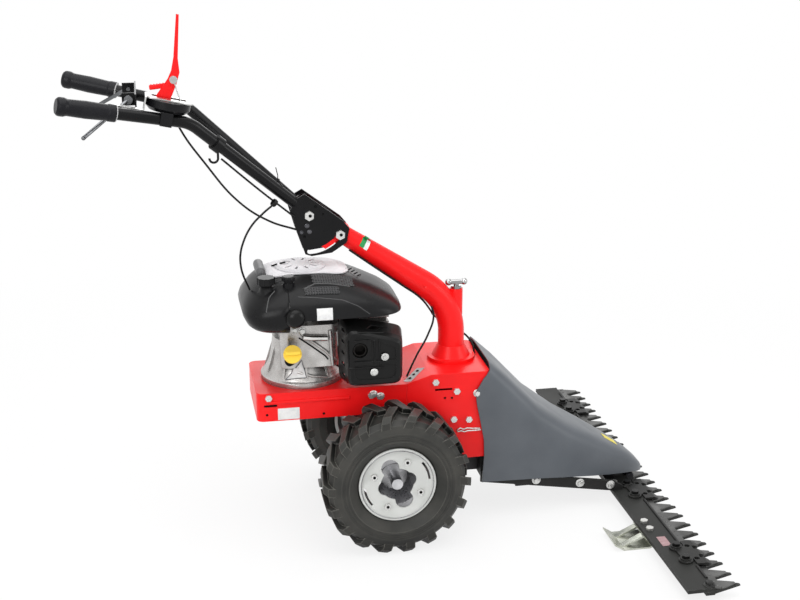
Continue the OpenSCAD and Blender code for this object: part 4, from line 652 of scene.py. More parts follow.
def layPlate(bm, tree, centre, across, upward, size, lift, thick, cuts):
    # a thin plate pressed onto a surface, from the side that across x upward points to
    throw = 0.1
    across, upward = Vector(across).normalized(), Vector(upward).normalized()
    way = -across.cross(upward)
    place = Matrix((across * size[0], upward * size[1], -way)).transposed().to_4x4()
    place.translation = Vector(centre) - way * throw
    made = bmesh.ops.create_grid(bm, x_segments=cuts, y_segments=cuts, size=0.5, matrix=place)
    for vert in made["verts"]:
        hit, _, _, _ = tree.ray_cast(vert.co, way)
        vert.co = (hit if hit else vert.co + way * throw) - way * lift
    faces = list({f for v in made["verts"] for f in v.link_faces})
    bmesh.ops.solidify(bm, geom=faces, thickness=thick)


def layPatch(bm, tree, corners, lift, thick):
    # a thin film between picture points, pressed onto a surface
    before = set(bm.verts)
    face = bm.faces.new([bm.verts.new(place) for place in seenLine(tree, corners)])
    bmesh.ops.subdivide_edges(bm, edges=list(face.edges), cuts=5, use_grid_fill=True)
    film = [v for v in bm.verts if v not in before]
    for vert in film:
        hit, normal, _, _ = tree.find_nearest(vert.co)
        vert.co = hit + normal * lift
    faces = list({f for v in film for f in v.link_faces})
    bmesh.ops.recalc_face_normals(bm, faces=faces)
    bmesh.ops.solidify(bm, geom=faces, thickness=thick)


def makePiece(name, bm, looks, body, sharp=38):
    bmesh.ops.remove_doubles(bm, verts=bm.verts, dist=mergeDist)
    bmesh.ops.recalc_face_normals(bm, faces=bm.faces)
    mesh = bpy.data.meshes.new(name)
    bm.to_mesh(mesh)
    bm.free()
    for look in looks:
        mesh.materials.append(look)
    mesh.shade_smooth()
    mesh.set_sharp_from_angle(angle=math.radians(sharp))
    piece = bpy.data.objects.new(name, mesh)
    bpy.context.scene.collection.objects.link(piece)
    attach(piece, body)
    return piece


# control cables, near the routes of their solids, in mm from the axle
cableSet = {
    "thick": 0.0045,
    "runs": [   # name, body at its start, body at its end, node, length, points
        ("clutchCable", "handle", "handle", "handle_cables", 0.387,
         [(-440, -68, 974), (-428, -66, 940), (-380, -64, 864), (-309, -54, 772), (-245, -40, 724),
          (-188, -29.8, 700)]),
        ("ropeCable", "handle", "handle", "handle_cables", 0.216,
         [(-345, -72, 872), (-265, -52, 796), (-190, -29.8, 728)]),
        # one cable in two pieces: the first runs from the chassis to the column, the second from the column
        # to the handlebar
        ("throttleCable", "chassis", "column", "engine_cable", 0.079,
         [(-295.2, -60, 578), (-310, -68, 620), (-313.6, -75, 642), (-314.2, -77, 652)]),
        ("throttleLead", "column", "handle", "engine_cable", 0.148,
         [(-314.2, -77, 652), (-313.6, -78, 662), (-308, -78, 686), (-289, -73, 722), (-263, -62, 746),
          (-236, -50, 764)]),
        ("columnCable", "column", "column", "column_cable", 0.315,
         [(-69, -14.5, 643), (-13, -16, 601), (51, -18, 554), (91, -17, 523), (120, 0, 484), (128, 12, 470),
          (141, 24.5, 455), (149, 29, 438)]),
        ("hoodCable", "column", "chassis", "chassis_cables", 0.112,
         [(155.4, 31, 430), (180, 39, 424), (206, 32, 412), (222, 16, 392), (227, 8, 369)]),
        ("deckCable", "column", "chassis", "chassis_cables", 0.175,
         [(116, -26, 504), (120, -32, 483), (104, -45, 442), (76, -60, 401), (50, -72, 355)]),
    ],
}


def meshCable(name, points, thick):
    # the cable as a mesh tube, with its route kept as points
    line = drawLine(points, thick / 2, fineness=3, smooth=True)
    tube = bpy.data.meshes.new_from_object(line)
    line.data.bevel_depth = 0
    middle = bpy.data.meshes.new_from_object(line)
    route = [v.co.copy() for v in middle.vertices]
    bpy.data.meshes.remove(middle)
    dropLine(line)
    cable = bpy.data.objects.new(name, tube)
    bpy.context.scene.collection.objects.link(cable)
    return cable, route


def layCables(spec):
    for name, first, last, node, length, places in spec["runs"]:
        points = [fromAxle(*p) for p in places]
        cable, route = meshCable(name, points, spec["thick"])
        if first == last:
            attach(cable, first)
        else:
            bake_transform(cable)
        cable.data.materials.clear()
        cable.data.materials.append(finishes["cable_black"])
        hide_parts(node)


layCables(cableSet)
print("cables laid:", len(cableSet["runs"]))

# curved covers: the shapes of their solids, merged, with smooth skins
skinSet = {
    "covers": {   # node, piece
        "engine_shroud": "engineCoverSkin",
        "fuel_tank": "tankSkin",
        "hood": "hoodSkin",
    },
    "crease": 34,        # edges sharper than this stay crisp
    "merge": 1e-5,
}


def smoothSkins(spec):
    for part in frame["record"]["subparts"]:
        node, slotName = part["node"], part["material_slot"]
        if node not in spec["covers"]:
            continue
        bm = bmesh.new()
        bm.from_mesh(nodes[node].data)
        bmesh.ops.remove_doubles(bm, verts=bm.verts, dist=spec["merge"])
        bmesh.ops.dissolve_degenerate(bm, edges=bm.edges, dist=spec["merge"])
        skin = makePiece(spec["covers"][node], bm, [finishes[slotName]], "chassis",
                         sharp=spec["crease"])
        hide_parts(node)


smoothSkins(skinSet)
print("covers smoothed")

# engine cover: two screens of small cells on each side of the top
grilleSet = {
    "patches": [   # x from, x to, y from, y to, mm from the axle
        (-163, -74, -101, -64),
        (-183, -109, -128, -108),
    ],
    "cell": 0.0056,
    "web": 0.0013,
    "pocket": 0.0014,
    "proud": 0.0012,
    "skirt": 0.004,
}


def layScreen(bm, cover, spec, x0, x1, y0, y1):
    wide, deep = (x1 - x0) / 1000, abs(y1 - y0) / 1000
    columns, rows = round(wide / spec["cell"]), round(deep / spec["cell"])
    middle = fromAxle((x0 + x1) / 2, (y0 + y1) / 2, rayStart["above"])
    made = bmesh.ops.create_grid(bm, x_segments=columns, y_segments=rows, size=0.5,
                                 matrix=Matrix.Translation(middle) @ Matrix.Diagonal((wide, deep, 1, 1)))
    low = min(v.co.y for v in made["verts"])
    missed = []
    for vert in made["verts"]:
        row = round((vert.co.y - low) / deep * rows)
        if row % 2:
            vert.co.x += spec["cell"] / 2     # rows stand half a cell apart
        hit, normal, _, _ = cover.ray_cast(vert.co, (0, 0, -1))
        if hit is None:
            missed.append(vert)
        else:
            vert.co = hit + normal * spec["proud"]
    bmesh.ops.delete(bm, geom=missed, context="VERTS")


def layGrille(spec):
    cover = surfaceOf("engine_shroud")
    bm = bmesh.new()
    for side in (1, -1):
        for x0, x1, y0, y1 in spec["patches"]:
            layScreen(bm, cover, spec, x0, x1, side * y0, side * y1)
    bmesh.ops.recalc_face_normals(bm, faces=bm.faces)
    if sum(f.normal.z for f in bm.faces) < 0:
        bmesh.ops.reverse_faces(bm, faces=bm.faces)
    cells = list(bm.faces)
    rim = [e for e in bm.edges if e.is_boundary]
    bmesh.ops.inset_individual(bm, faces=cells, thickness=spec["web"], depth=-spec["pocket"],
                               use_even_offset=True)
    # the cells are near-black as painted shade in their pockets
    for cell in cells:
        cell.material_index = 1
    fall = bmesh.ops.extrude_edge_only(bm, edges=rim)
    lower = [v for v in fall["geom"] if isinstance(v, bmesh.types.BMVert)]
    bmesh.ops.translate(bm, vec=(0, 0, -spec["skirt"]), verts=lower)
    makePiece("coverScreens", bm, [extraFinishes["screenHighlightGrey"], extraFinishes["pocketShadeBlack"]],
              "chassis", sharp=25)


layGrille(grilleSet)

# raised lines of the engine cover and the tank, the same on both sides, paler than the cover as painted
# highlight
coverLineSet = {
    "lines": [   # picture points, half thickness
        ([(303.5, 289.5), (309, 286.5), (314, 284), (330, 284), (350, 286.5)], 0.002),
        ([(298, 297), (320, 298), (342, 300), (358, 306), (370, 314)], 0.0014),
    ],
    # mm from the axle
    "tankRib": ([(-245, -105, 587), (-258, -116, 577), (-268, -143, 551)], 0.0016),
    "sink": 0.3,         # share of its half thickness that a line lies in the cover
    "steps": 10,
}


def drawCoverLines(spec):
    cover = surfaceOf("engine_shroud", "fuel_tank")
    rib, ribThick = spec["tankRib"]
    paths = [(seenLine(cover, line), thick) for line, thick in spec["lines"]]
    paths.append(([fromAxle(*p) for p in rib], ribThick))
    bm = bmesh.new()
    for path, thick in paths:
        for side in (1, -1):
            points = [Vector((p.x, side * p.y, p.z)) for p in path]
            addWire(bm, traceOn(cover, points, spec["steps"], -spec["sink"] * thick), thick)
    makePiece("coverRidges", bm, [extraFinishes["ridgeHighlight"]], "chassis", sharp=60)


drawCoverLines(coverLineSet)

# vent behind the trim, and the cut-outs in front of it, as picture points; slats and cut-outs are dark
# wires as painted shade
ventSet = {
    "strip": [(345.5, 268.5), (350, 267), (361.5, 275), (357.5, 277.8)],
    "slats": [[(348, 270.2), (351, 268.6)], [(351, 272.2), (354, 270.6)], [(354, 274.2), (357, 272.6)],
              [(356.8, 276.4), (360, 274.8)]],
    "slatThick": 0.0017,
    "cuts": [[(271.5, 266), (277, 264.6)], [(280, 263.8), (285, 262.8)]],
    "cutThick": 0.0024,
    "lift": 0.0006,
    "thick": 0.0008,
}


def cutVents(spec):
    top = surfaceOf("engine_shroud", "starter_cover", "fuel_tank")
    bm = bmesh.new()
    layPatch(bm, top, spec["strip"], spec["lift"], spec["thick"])
    makePiece("trimVent", bm, [extraFinishes["pullGrey"]], "chassis")
    bm = bmesh.new()
    for lines, thick in ((spec["slats"], spec["slatThick"]), (spec["cuts"], spec["cutThick"])):
        for line in lines:
            addSeenWire(bm, top, line, thick, spec["lift"], steps=4, fineness=2)
    makePiece("trimSlots", bm, [extraFinishes["pocketShadeBlack"]], "chassis")


cutVents(ventSet)

# ribbed knob beside the filler, and the dark boss under the cover's edge
knobSet = {
    "place": (-214, -96),     # x and y, mm from the axle
    "radius": 0.0125,
    "height": 0.021,
    "root": 0.012,
    "shape": [   # shares of the radius and of the height
        (1, 0.3), (0.8, 0.36), (0.8, 0.5), (1.06, 0.56), (1.06, 0.9), (0.94, 1), (0.5, 1.03), (0, 1.03),
    ],
    "ribs": 14,
    "ribAt": (1.06, 0.73),
    "ribSize": (0.13, 0.36),
    "ribRound": 0.04,         # share of the radius
    "ribEnds": 1.4,           # edges sharper than this, in radians, are round a rib's ends
    "boss": (295.5, 319),     # picture point
    "bossRadius": 0.021,
    "bossShape": [   # share of the radius, height
        (0, -0.01), (1, -0.01), (1, 0.0005), (0.95, 0.004), (0.82, 0.0075), (0.6, 0.0105), (0.32, 0.012),
        (0, 0.0125),
    ],
}


def makeKnob(spec, cover):
    top, _ = topAt(cover, *spec["place"])
    r, h = spec["radius"], spec["height"]
    (ribOut, ribUp), (ribThick, ribTall) = spec["ribAt"], spec["ribSize"]
    bm = bmesh.new()
    profile = [(0, -spec["root"]), (r, -spec["root"])] + [(a * r, b * h) for a, b in spec["shape"]]
    addTurned(bm, profile, Matrix.Translation(top))
    for k in range(spec["ribs"]):
        turn = Matrix.Rotation(2 * math.pi * k / spec["ribs"], 4, "Z")
        place = Matrix.Translation(top) @ turn @ Matrix.Translation((ribOut * r, 0, ribUp * h))
        made = bmesh.ops.create_cone(bm, cap_ends=True, segments=6, radius1=ribThick * r,
                                     radius2=ribThick * r, depth=ribTall * h, matrix=place)
        ends = {e for v in made["verts"] for e in v.link_edges if e.calc_face_angle(0) > spec["ribEnds"]}
        bmesh.ops.bevel(bm, geom=list(ends), offset=r * spec["ribRound"], segments=1, profile=0.5,
                        affect="EDGES", material=-1)
    makePiece("primerKnob", bm, [finishes["console_plastic"]], "chassis")


def makeBoss(spec, cover):
    place, normal = seenAt(cover, *spec["boss"])
    bm = bmesh.new()
    addTurned(bm, [(share * spec["bossRadius"], height) for share, height in spec["bossShape"]],
              standOn(place, (normal.x, normal.y, 0)))
    makePiece("tankBoss", bm, [finishes["guard_black"]], "chassis", sharp=60)


coverAndTank = surfaceOf("engine_shroud", "fuel_tank")
makeKnob(knobSet, coverAndTank)
makeBoss(knobSet, coverAndTank)
print("engine cover dressed")

# engine casting: seam, ribs, pipe, studs, and a dark collar under the oil cap that is painted shadow
castingSet = {
    "ribs": [   # picture points, half thickness and how far each stands off
        ([(330, 330), (331, 345), (333, 365)], 0.0048, -0.0012),
        ([(337, 331), (338, 345), (340, 362)], 0.0036, 0.0),
        ([(301, 334), (313, 342), (326, 351), (337, 361)], 0.0038, -0.001),
        ([(297, 372), (312, 376), (328, 377)], 0.0035, -0.001),
    ],
    "pipe": ([(303, 336.5), (312, 337.5), (327, 337.5)], 0.0062, 0.0045),
    "seam": ([(299, 338), (312, 346.5), (325, 355.5), (338, 366)], 0.0016, 0.0004),
    "neck": (290, 361),
    "neckShape": [(0, -0.004), (0.011, -0.004), (0.011, 0.005), (0.0095, 0.0065), (0, 0.0065)],
    "studs": [(294.5, 330, 0.0055), (302, 331, 0.0065)],     # picture point, head
    "studTall": 0.005,
}


def dressCasting(spec):
    casting = surfaceOf("crankcase", "cylinder_block")
    bm = bmesh.new()
    for rib in spec["ribs"]:
        addSeenWire(bm, casting, *rib)
    makePiece("castingRibs", bm, [finishes["engine_alloy"]], "chassis", sharp=60)

    bm = bmesh.new()
    # the pipe is the casting's metal, drawn paler as painted highlight
    addSeenWire(bm, casting, *spec["pipe"], fineness=4)
    makePiece("breatherPipe", bm, [extraFinishes["highlightAlloy"]], "chassis", sharp=60)

    bm = bmesh.new()
    addSeenWire(bm, casting, *spec["seam"])
    # the collar under the oil cap is drawn dark as painted shadow
    place, normal = seenAt(casting, *spec["neck"])
    addTurned(bm, spec["neckShape"], standOn(place, (normal.x, normal.y, 0)), steps=24)
    makePiece("castingSeamAndCapShade", bm, [extraFinishes["pocketShadeBlack"]], "chassis")

    bm = bmesh.new()
    addSeenBolts(bm, surfaceOf("crankcase", "cylinder_block", "fuel_tank"), spec["studs"], spec["studTall"])
    makePiece("castingStuds", bm, [finishes["zinc_bolts"]], "chassis")


dressCasting(castingSet)
print("engine casting dressed")

# muffler guard: pressed ridges on its face
guardSet = {
    "ridges": [   # picture points
        [(346, 334), (360, 333), (383, 333)],
        [(348, 341), (348, 352), (349, 367)],
        [(349, 368.5), (366, 368), (384, 367)],
        [(374, 340), (375, 352), (375, 365)],
        [(379, 340), (380, 352), (380, 365)],
    ],
    "thick": 0.0022,
    "lift": 0.0004,
}


def pressGuard(spec):
    guard = surfaceOf("muffler_guard")
    bm = bmesh.new()
    for ridge in spec["ridges"]:
        addSeenWire(bm, guard, ridge, spec["thick"], spec["lift"])
    makePiece("guardRidges", bm, [finishes["guard_black"]], "chassis", sharp=60)


pressGuard(guardSet)
print("muffler guard pressed")

# bright screws on the muffler guard, the rails and the frame
screwSet = {
    "side": [   # nodes, x and z of each in mm from the axle, then head, height and washer
        (["muffler_guard", "muffler"], [(-16, 442), (-40, 408)], (0.0058, 0.005, 0.0085)),
        (["bar_support"], [(357, 79), (465, 62), (541, 50)], (0.0075, 0.006, 0.0105)),
    ],
    "frame": [(373.5, 394), (380.5, 396), (477, 393)],               # picture points
    "frameBolt": (0.0065, 0.0055, 0.009),
}


def driveScrews(spec):
    bm = bmesh.new()
    for carriers, places, size in spec["side"]:
        tree = surfaceOf(*carriers)
        for x, z in places:
            place, _ = sideAt(tree, x, z)
            addBolt(bm, place, (0, -1, 0), *size)
    frameSide = surfaceOf("engine_tray", "gearbox_cover")
    for u, v in spec["frame"]:
        addBolt(bm, *seenAt(frameSide, u, v), *spec["frameBolt"])
    makePiece("brightScrews", bm, [finishes["zinc_bolts"]], "chassis")


driveScrews(screwSet)

# hairpin that holds the cover, bent from spring wire
hairpinSet = {
    "side": -106.5,           # mm from the axle, as is its line in x and z
    "line": [(214, 230), (196, 231), (184, 233), (176, 230), (168, 234), (161, 230), (163, 225), (170, 227),
             (178, 224), (186, 226), (200, 225.5), (216, 226)],
    "wire": 0.0016,
}


def bendHairpin(spec):
    bm = bmesh.new()
    addWire(bm, [fromAxle(x, spec["side"], z) for x, z in spec["line"]], spec["wire"], fineness=2)
    makePiece("coverHairpin", bm, [finishes["zinc_bolts"]], "chassis", sharp=70)


bendHairpin(hairpinSet)
print("screws and hairpin set")

# bare plates and films on the sheet metal, and punched holes
plateSet = {
    "thick": 0.0005,
    "lift": 0.0007,
    "cuts": 8,
    "plates": [   # name, body, nodes, centre in mm from the axle, across, upward, size, finish
        ("trayPlate", "chassis", ["engine_tray"], (-222, -109, 300), (1, 0, 0), (0, 0, 1),
         (0.048, 0.027), "whiteFilm"),
        ("deckPlate", "chassis", ["gearbox_cover", "engine_tray"], (67, -71, 365), (0.67, 0.74, 0),
         (-0.74, 0.67, 0), (0.06, 0.02), "greyFilm"),
        ("barPlate", "chassis", ["cutter_bar"], (575, -352, 34), (0, 1, 0), (-1, 0, 0),
         (0.042, 0.02), "pinkFilm"),
    ],
    "seen": [     # the same, with the centre as a picture point
        ("coverPlate", "chassis", ["engine_shroud", "fuel_tank"], (325, 314.5), (1, 0, 0), (0, 0, 1),
         (0.034, 0.026), "whiteFilm"),
        ("hoodFilm", "chassis", ["hood"], (609, 439), (1, 0, 0), (0, 1, 0), (0.034, 0.026), "yellowFilm"),
        ("columnFilmWhite", "column", ["steering_column"], (367.6, 244.2), (0.824, 0, -0.566),
         (0.566, 0, 0.824), (0.010, 0.026), "whiteFilm"),
        ("columnFilmGreen", "column", ["steering_column"], (364, 241.6), (0.824, 0, -0.566),
         (0.566, 0, 0.824), (0.011, 0.026), "greenFilm"),
    ],
    "triangle": [(285.5, 380), (306.5, 377.5), (301.5, 360.5)],     # picture points on the casting
    "border": 0.0009,
    "slotBack": (-260.5, -106, 318),      # a dark sheet behind the tray's slot, painted shade seen through it
    "slotSize": (0.034, 0.012),
    "slotLift": 0.0002,
    "slotCuts": 6,
    "holes": [   # node, radius, x and z of each in mm from the axle
        ("engine_tray", 0.0028, [(-270, 300), (-144, 294)]),
        ("gearbox_cover", 0.0026, [(132, 310), (148, 309)]),
    ],
    "deckHoles": [(56, -83), (67, -71), (78, -59)],
    "deckHole": 0.0034,
}


def layPlates(spec):
    lift, thick = spec["lift"], spec["thick"]
    for rows, seen in ((spec["plates"], False), (spec["seen"], True)):
        for name, body, carriers, centre, across, upward, size, look in rows:
            tree = surfaceOf(*carriers)
            place = seenAt(tree, *centre)[0] if seen else fromAxle(*centre)
            bm = bmesh.new()
            layPlate(bm, tree, place, across, upward, size, lift, thick, spec["cuts"])
            makePiece(name, bm, [extraFinishes[look]], body)

    casting = surfaceOf("crankcase")
    bm = bmesh.new()
    layPatch(bm, casting, spec["triangle"], lift, thick)
    makePiece("castingPlate", bm, [extraFinishes["whiteFilm"]], "chassis")
    bm = bmesh.new()
    addSeenWire(bm, casting, spec["triangle"] + spec["triangle"][:1], spec["border"], lift, fineness=1)
    makePiece("castingPlateEdge", bm, [finishes["drive_steel"]], "chassis", sharp=70)


def punchHoles(spec):
    # a dark sheet behind the tray's slot, and dark punched holes: painted shade
    bm = bmesh.new()
    layPlate(bm, surfaceOf("engine_tray"), fromAxle(*spec["slotBack"]), (-1, 0, 0), (0, 0, 1),
             spec["slotSize"], spec["slotLift"], spec["thick"], spec["slotCuts"])
    for node, radius, places in spec["holes"]:
        tree = surfaceOf(node)
        for x, z in places:
            addHole(bm, *sideAt(tree, x, z), radius)
    deck = surfaceOf("gearbox_cover", "engine_tray")
    for x, y in spec["deckHoles"]:
        place, normal = topAt(deck, x, y)
        addHole(bm, place + normal * 2 * spec["lift"], normal, spec["deckHole"])
    makePiece("frameHoles", bm, [extraFinishes["pocketShadeBlack"]], "chassis")


layPlates(plateSet)
punchHoles(plateSet)
print("plates laid")

# knife rivets, the nut on the bar's near end, and the ledge behind the knife
rivetSet = {
    "pitch": 45,              # places are in mm, the sizes of heads and wire in m
    "sections": 25,
    "back": 617,
    "spread": 9,
    "clips": (-416.25, -101.25, 101.25, 416.25),
    "clear": 80,              # half a clip and the knife's stroke
    "middleClear": 45,        # under the hood's tip
    "head": 0.0036,
    "top": 0.0018,
    "tall": 0.0013,
    "end": (599, -548),
    "endNut": (0.0085, 0.007, 0.0125),      # head, height, washer
    "ledges": [(152, 366), (468, 520)],     # from and to, mm each side of the middle
    "ledgeAt": (604.5, 34),
    "ledgeThick": 0.0036,
}


def setRivets(spec):
    knife = surfaceOf("knife")
    bm = bmesh.new()
    for k in range(spec["sections"]):
        for side in (-1, 1):
            y = (k - (spec["sections"] - 1) / 2) * spec["pitch"] + side * spec["spread"]
            if min(abs(y - c) for c in spec["clips"]) < spec["clear"] or abs(y) < spec["middleClear"]:
                continue
            place, _ = topAt(knife, spec["back"], y)
            if place:
                middle = Matrix.Translation(place + Vector((0, 0, spec["tall"] / 2)))
                bmesh.ops.create_cone(bm, cap_ends=True, segments=8, radius1=spec["head"],
                                      radius2=spec["top"], depth=spec["tall"], matrix=middle)
    makePiece("knifeRivets", bm, [finishes["knife_steel"]], "cutter")


def finishBar(spec):
    bm = bmesh.new()
    place, _ = topAt(surfaceOf("cutter_bar", "finger_comb"), *spec["end"])
    addBolt(bm, place, (0, 0, 1), *spec["endNut"])
    makePiece("barEndNut", bm, [finishes["clip_steel"]], "chassis")

    # the ledge that the knife's back runs along, between the clips
    bm = bmesh.new()
    x, z = spec["ledgeAt"]
    for y0, y1 in spec["ledges"]:
        for side in (1, -1):
            addWire(bm, [fromAxle(x, side * y, z) for y in (y0, y1)], spec["ledgeThick"], fineness=2)
    makePiece("knifeLedge", bm, [finishes["clip_steel"]], "chassis", sharp=60)


setRivets(rivetSet)
finishBar(rivetSet)
print("knife rivets set")

# handlebar: pale rings before the grips, and ties round the cables
handleSet = {
    "gripEnd": (-667, 169, 1011),        # these three in mm from the axle
    "bend": (-408, 100, 956),
    "foot": (-195, 13.5, 764),
    "gripLong": 0.118,
    "tubeRadius": 0.0125,
    # shapes of the bands: how far from the tube, how far along it
    "ring": [(0, 0.0004), (0.0045, 0.0004), (0.005, 0.0012), (0.0045, 0.0022), (0, 0.0026)],
    "tie": [(0, -0.0022), (0.0012, -0.0022), (0.0016, 0), (0.0012, 0.0022), (0, 0.0022)],
    "clip": [(0, -0.004), (0.0016, -0.004), (0.0021, 0), (0.0016, 0.004), (0, 0.004), (0, -0.004)],
    "tieAt": 0.86,            # share of the lower tube, from the bend to the foot
    "tail": [(0, 0, 0), (0.001, -0.002, 0.018), (-0.003, -0.003, 0.036)],
    "tailThick": 0.0011,
    "clipAt": (-235, -46.5, 766),        # where two of the cables are held together
    "clipWay": (0.72, 0.21, -0.66),
    "clipInner": 0.0066,
}


def addBand(bm, shape, radius, place, way, steps):
    addTurned(bm, [(radius + out, along) for out, along in shape], standOn(place, way), steps)


def onSide(point, side):
    x, y, z = point
    return fromAxle(x, side * y, z)


def dressHandle(spec):
    r = spec["tubeRadius"]
    rings, ties = bmesh.new(), bmesh.new()
    for side in (1, -1):
        end, bend, foot = (onSide(spec[name], side) for name in ("gripEnd", "bend", "foot"))
        way = (bend - end).normalized()
        addBand(rings, spec["ring"], r, end + way * spec["gripLong"], way, steps=32)
        tieAt = bend.lerp(foot, spec["tieAt"])
        addBand(ties, spec["tie"], r, tieAt, (foot - bend).normalized(), steps=24)
        if side < 0:
            root = tieAt + Vector((0, 0, r))
            addWire(ties, [root + Vector(step) for step in spec["tail"]], spec["tailThick"], fineness=1)
    addBand(ties, spec["clip"], spec["clipInner"], fromAxle(*spec["clipAt"]), spec["clipWay"], steps=24)
    makePiece("gripRings", rings, [extraFinishes["greyFilm"]], "handle")
    makePiece("cableTies", ties, [finishes["cable_black"]], "handle")


dressHandle(handleSet)

# side plates of the handlebar's foot: rolled edge, screws, bolt sockets and holes, as picture points
footSet = {
    "edge": [(296, 197.5), (300, 194.5), (304, 193.3), (309, 194.5), (318, 202), (340, 219.5)],
    "edgeThick": 0.0015,
    "screws": [(307, 226, 0.004), (309.5, 232, 0.0038), (301.5, 232.5, 0.0032)],        # point, head
    "screwTall": 0.003,
    "sockets": [(310.2, 216.1, 0.0036), (341.3, 235, 0.0036)],                          # point, radius
    "holes": [(315.6, 206.5, 0.003), (304.5, 236.5, 0.0032), (323, 214, 0.002)],
}


def dressFoot(spec):
    plates = surfaceOf("handlebar")
    bm = bmesh.new()
    edge = seenLine(plates, spec["edge"])
    if len(edge) > 1:
        addWire(bm, edge, spec["edgeThick"], fineness=2)
    makePiece("footEdge", bm, [finishes["handle_black"]], "handle", sharp=60)
    bm = bmesh.new()
    addSeenBolts(bm, plates, spec["screws"], spec["screwTall"])
    makePiece("footScrews", bm, [finishes["drive_steel"]], "handle")
    bm = bmesh.new()
    addSeenHoles(bm, surfaceOf("handle_bolts"), spec["sockets"])
    makePiece("boltSockets", bm, [extraFinishes["pocketShadeBlack"]], "column")
    bm = bmesh.new()
    addSeenHoles(bm, plates, spec["holes"])
    makePiece("footHoles", bm, [extraFinishes["pocketShadeBlack"]], "handle")


dressFoot(footSet)

# red tongue of the column, seen through the foot's slot
tongueSet = {
    "outline": [(321.5, 246.5), (331, 238.5), (337, 240), (334, 243.5), (325.5, 249)],    # picture points
    "at": -0.026,
    "thick": 0.005,
}


def growTongue(spec):
    eye = Vector(cameraSet["place"])
    corners = []
    for u, v in spec["outline"]:
        way = photoWay(u, v)
        corners.append(eye + way * ((spec["at"] - eye.y) / way.y))
    bm = bmesh.new()
    face = bm.faces.new([bm.verts.new(corner) for corner in corners])
    grown = bmesh.ops.extrude_face_region(bm, geom=[face])
    moved = [item for item in grown["geom"] if isinstance(item, bmesh.types.BMVert)]
    bmesh.ops.translate(bm, verts=moved, vec=(0, spec["thick"], 0))
    makePiece("columnTongue", bm, [finishes["red_paint"]], "column")


growTongue(tongueSet)

# ribbed tail behind the gear lever
tailSet = {
    "place": (-463, 1029),        # x and z, mm from the axle
    "leverAt": 14,                # how far ahead of it the lever's plate is, in mm
    "beside": 100,                # where the search for that plate starts
    "size": (0.044, 0.007, 0.010),
    "sink": 0.1,                  # share of its thickness that lies in the lever
    "tilt": -6,
    "round": 0.0022,
    "ribs": [0.1, 0.24, 0.38, 0.52, 0.66],      # shares of its length
    "ribReach": 0.42,             # share of its thickness, each way
    "ribThick": 0.0012,
}


def hangTail(spec):
    x, z = spec["place"]
    wide, deep, tall = spec["size"]
    start = fromAxle(x + spec["leverAt"], spec["beside"], z)
    back, _, _, _ = surfaceOf("gear_lever").ray_cast(start, (0, -1, 0))
    middle = fromAxle(x, 0, z) + Vector((0, back.y + (0.5 - spec["sink"]) * deep, 0))
    stand = Matrix.Translation(middle) @ Matrix.Rotation(math.radians(spec["tilt"]), 4, "Y")
    bm = bmesh.new()
    bmesh.ops.create_cube(bm, size=1, matrix=stand @ Matrix.Diagonal((wide, deep, tall, 1)))
    bmesh.ops.bevel(bm, geom=list(bm.edges), offset=spec["round"], segments=3, profile=0.5,
                    affect="EDGES", material=-1)
    for share in spec["ribs"]:
        reach = spec["ribReach"] * deep
        ends = [stand @ Vector(((share - 0.5) * wide, side * reach, tall / 2)) for side in (-1, 1)]
        addWire(bm, ends, spec["ribThick"], fineness=2)
    makePiece("leverTail", bm, [finishes["red_paint"]], "gear_stick")


hangTail(tailSet)
print("handle dressed")

# rims: the lobed opening in the face, drawn out above and below the axle
rimSet = {
    "rims": [   # node, piece, side, and which way its angles run
        ("rim_right", "rimFaceRight", -1, 1),
        ("rim_left", "rimFaceLeft", 1, -1),
    ],
    "merge": 1e-5,
    "inside": 0.054,
    "lobes": [   # distance from the axle, angle, radius
        (0, 0, 37), (42, 112, 20), (42, 292, 20), (26, 18, 18), (26, 198, 18),
    ],
    "bolts": [67, 157, 247, 337],
    "boltRing": 56,
    "boltClear": 0.01,
    "socket": 0.0034,
    "lip": (80.5, 0.0011),      # radius in mm, half thickness
    "lipSteps": 96,
}


def onRing(radius, turn):
    # x and z, in mm, of one place round the axle
    return radius * math.cos(turn), axleHeight + radius * math.sin(turn)


def ringOn(tree, radius, side, steps):
    # a closed line round the axle, on the outer face of a wheel
    turns = [2 * math.pi * k / steps for k in range(steps + 1)]
    return [sideAt(tree, *onRing(radius, turn), side)[0] for turn in turns]


def lobeReach(lobes, turn):
    # how far the opening reaches from the axle, one way
    reach = 0
    for away, angle, radius in lobes:
        swing = turn - math.radians(angle)
        side = radius ** 2 - (away * math.sin(swing)) ** 2
        if side > 0:
            reach = max(reach, away * math.cos(swing) + math.sqrt(side))
    return reach


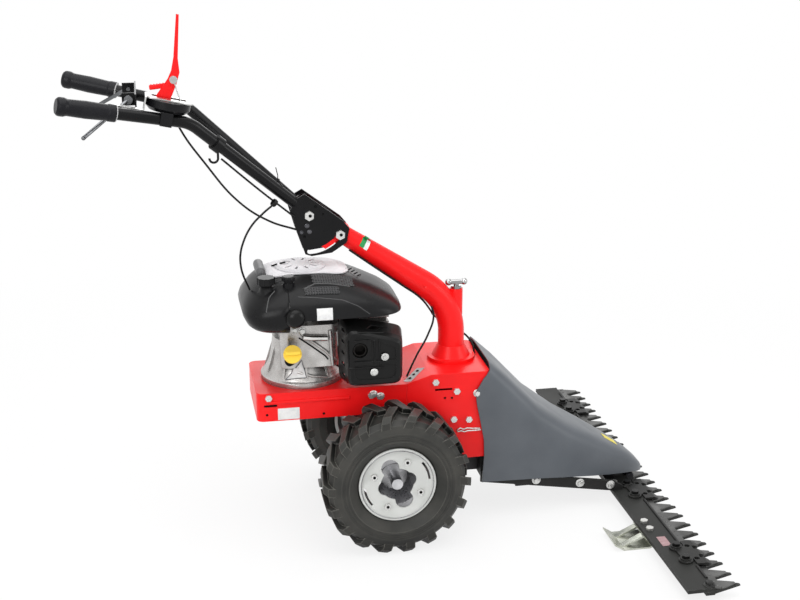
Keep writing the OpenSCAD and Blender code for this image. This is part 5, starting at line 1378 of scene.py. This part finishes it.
def openRim(spec, node, bolts, way):
    # moves the edge of the round opening out to the lobes, clear of the bolts
    bm = bmesh.new()
    bm.from_mesh(nodes[node].data)
    bmesh.ops.remove_doubles(bm, verts=bm.verts, dist=spec["merge"])
    axle = fromAxle(0, 0, axleHeight)
    for vert in bm.verts:
        flat = Vector((vert.co.x, 0, vert.co.z))
        nearBolt = min((flat - bolt).length for bolt in bolts) < spec["boltClear"]
        if (flat - axle).length < spec["inside"] and not nearBolt:
            turn = math.atan2(flat.z - axle.z, flat.x - axle.x)
            x, z = onRing(lobeReach(spec["lobes"], way * turn), turn)
            vert.co = fromAxle(x, vert.co.y * 1000, z)
    return bm


def dressRims(spec):
    sockets, lips = bmesh.new(), bmesh.new()
    heads = surfaceOf("wheel_fasteners")
    lipRadius, lipThick = spec["lip"]
    for node, piece, side, way in spec["rims"]:
        spots = [onRing(spec["boltRing"], way * math.radians(angle)) for angle in spec["bolts"]]
        bm = openRim(spec, node, [fromAxle(x, 0, z) for x, z in spots], way)
        face = makePiece(piece, bm, [finishes["rim_silver"]], "wheels", sharp=20)
        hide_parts(node)
        for x, z in spots:
            addHole(sockets, sideAt(heads, x, z, side)[0], (0, side, 0), spec["socket"])
        # a thin pressed line just inside the edge of the rim
        addWire(lips, ringOn(surfaceOf(node), lipRadius, side, spec["lipSteps"]), lipThick, fineness=1)
    makePiece("wheelSockets", sockets, [extraFinishes["pocketShadeBlack"]], "wheels")
    makePiece("rimLips", lips, [finishes["hub_steel"]], "wheels", sharp=70)


dressRims(rimSet)
print("rims opened")

# faint moulded rings on the tyre walls
wallSet = {
    "rings": [(112, 0.0011), (121, 0.0009)],       # radius in mm, half thickness
    "steps": 72,
}


def ringTyres(spec):
    bm = bmesh.new()
    for name, side in (("tyre_right", -1), ("tyre_left", 1)):
        tyre = surfaceOf(name)
        for radius, thick in spec["rings"]:
            addWire(bm, ringOn(tyre, radius, side, spec["steps"]), thick, fineness=1)
    makePiece("tyreWallRings", bm, [extraFinishes["lugRing"]], "wheels", sharp=70)


ringTyres(wallSet)
print("tyre walls ringed")
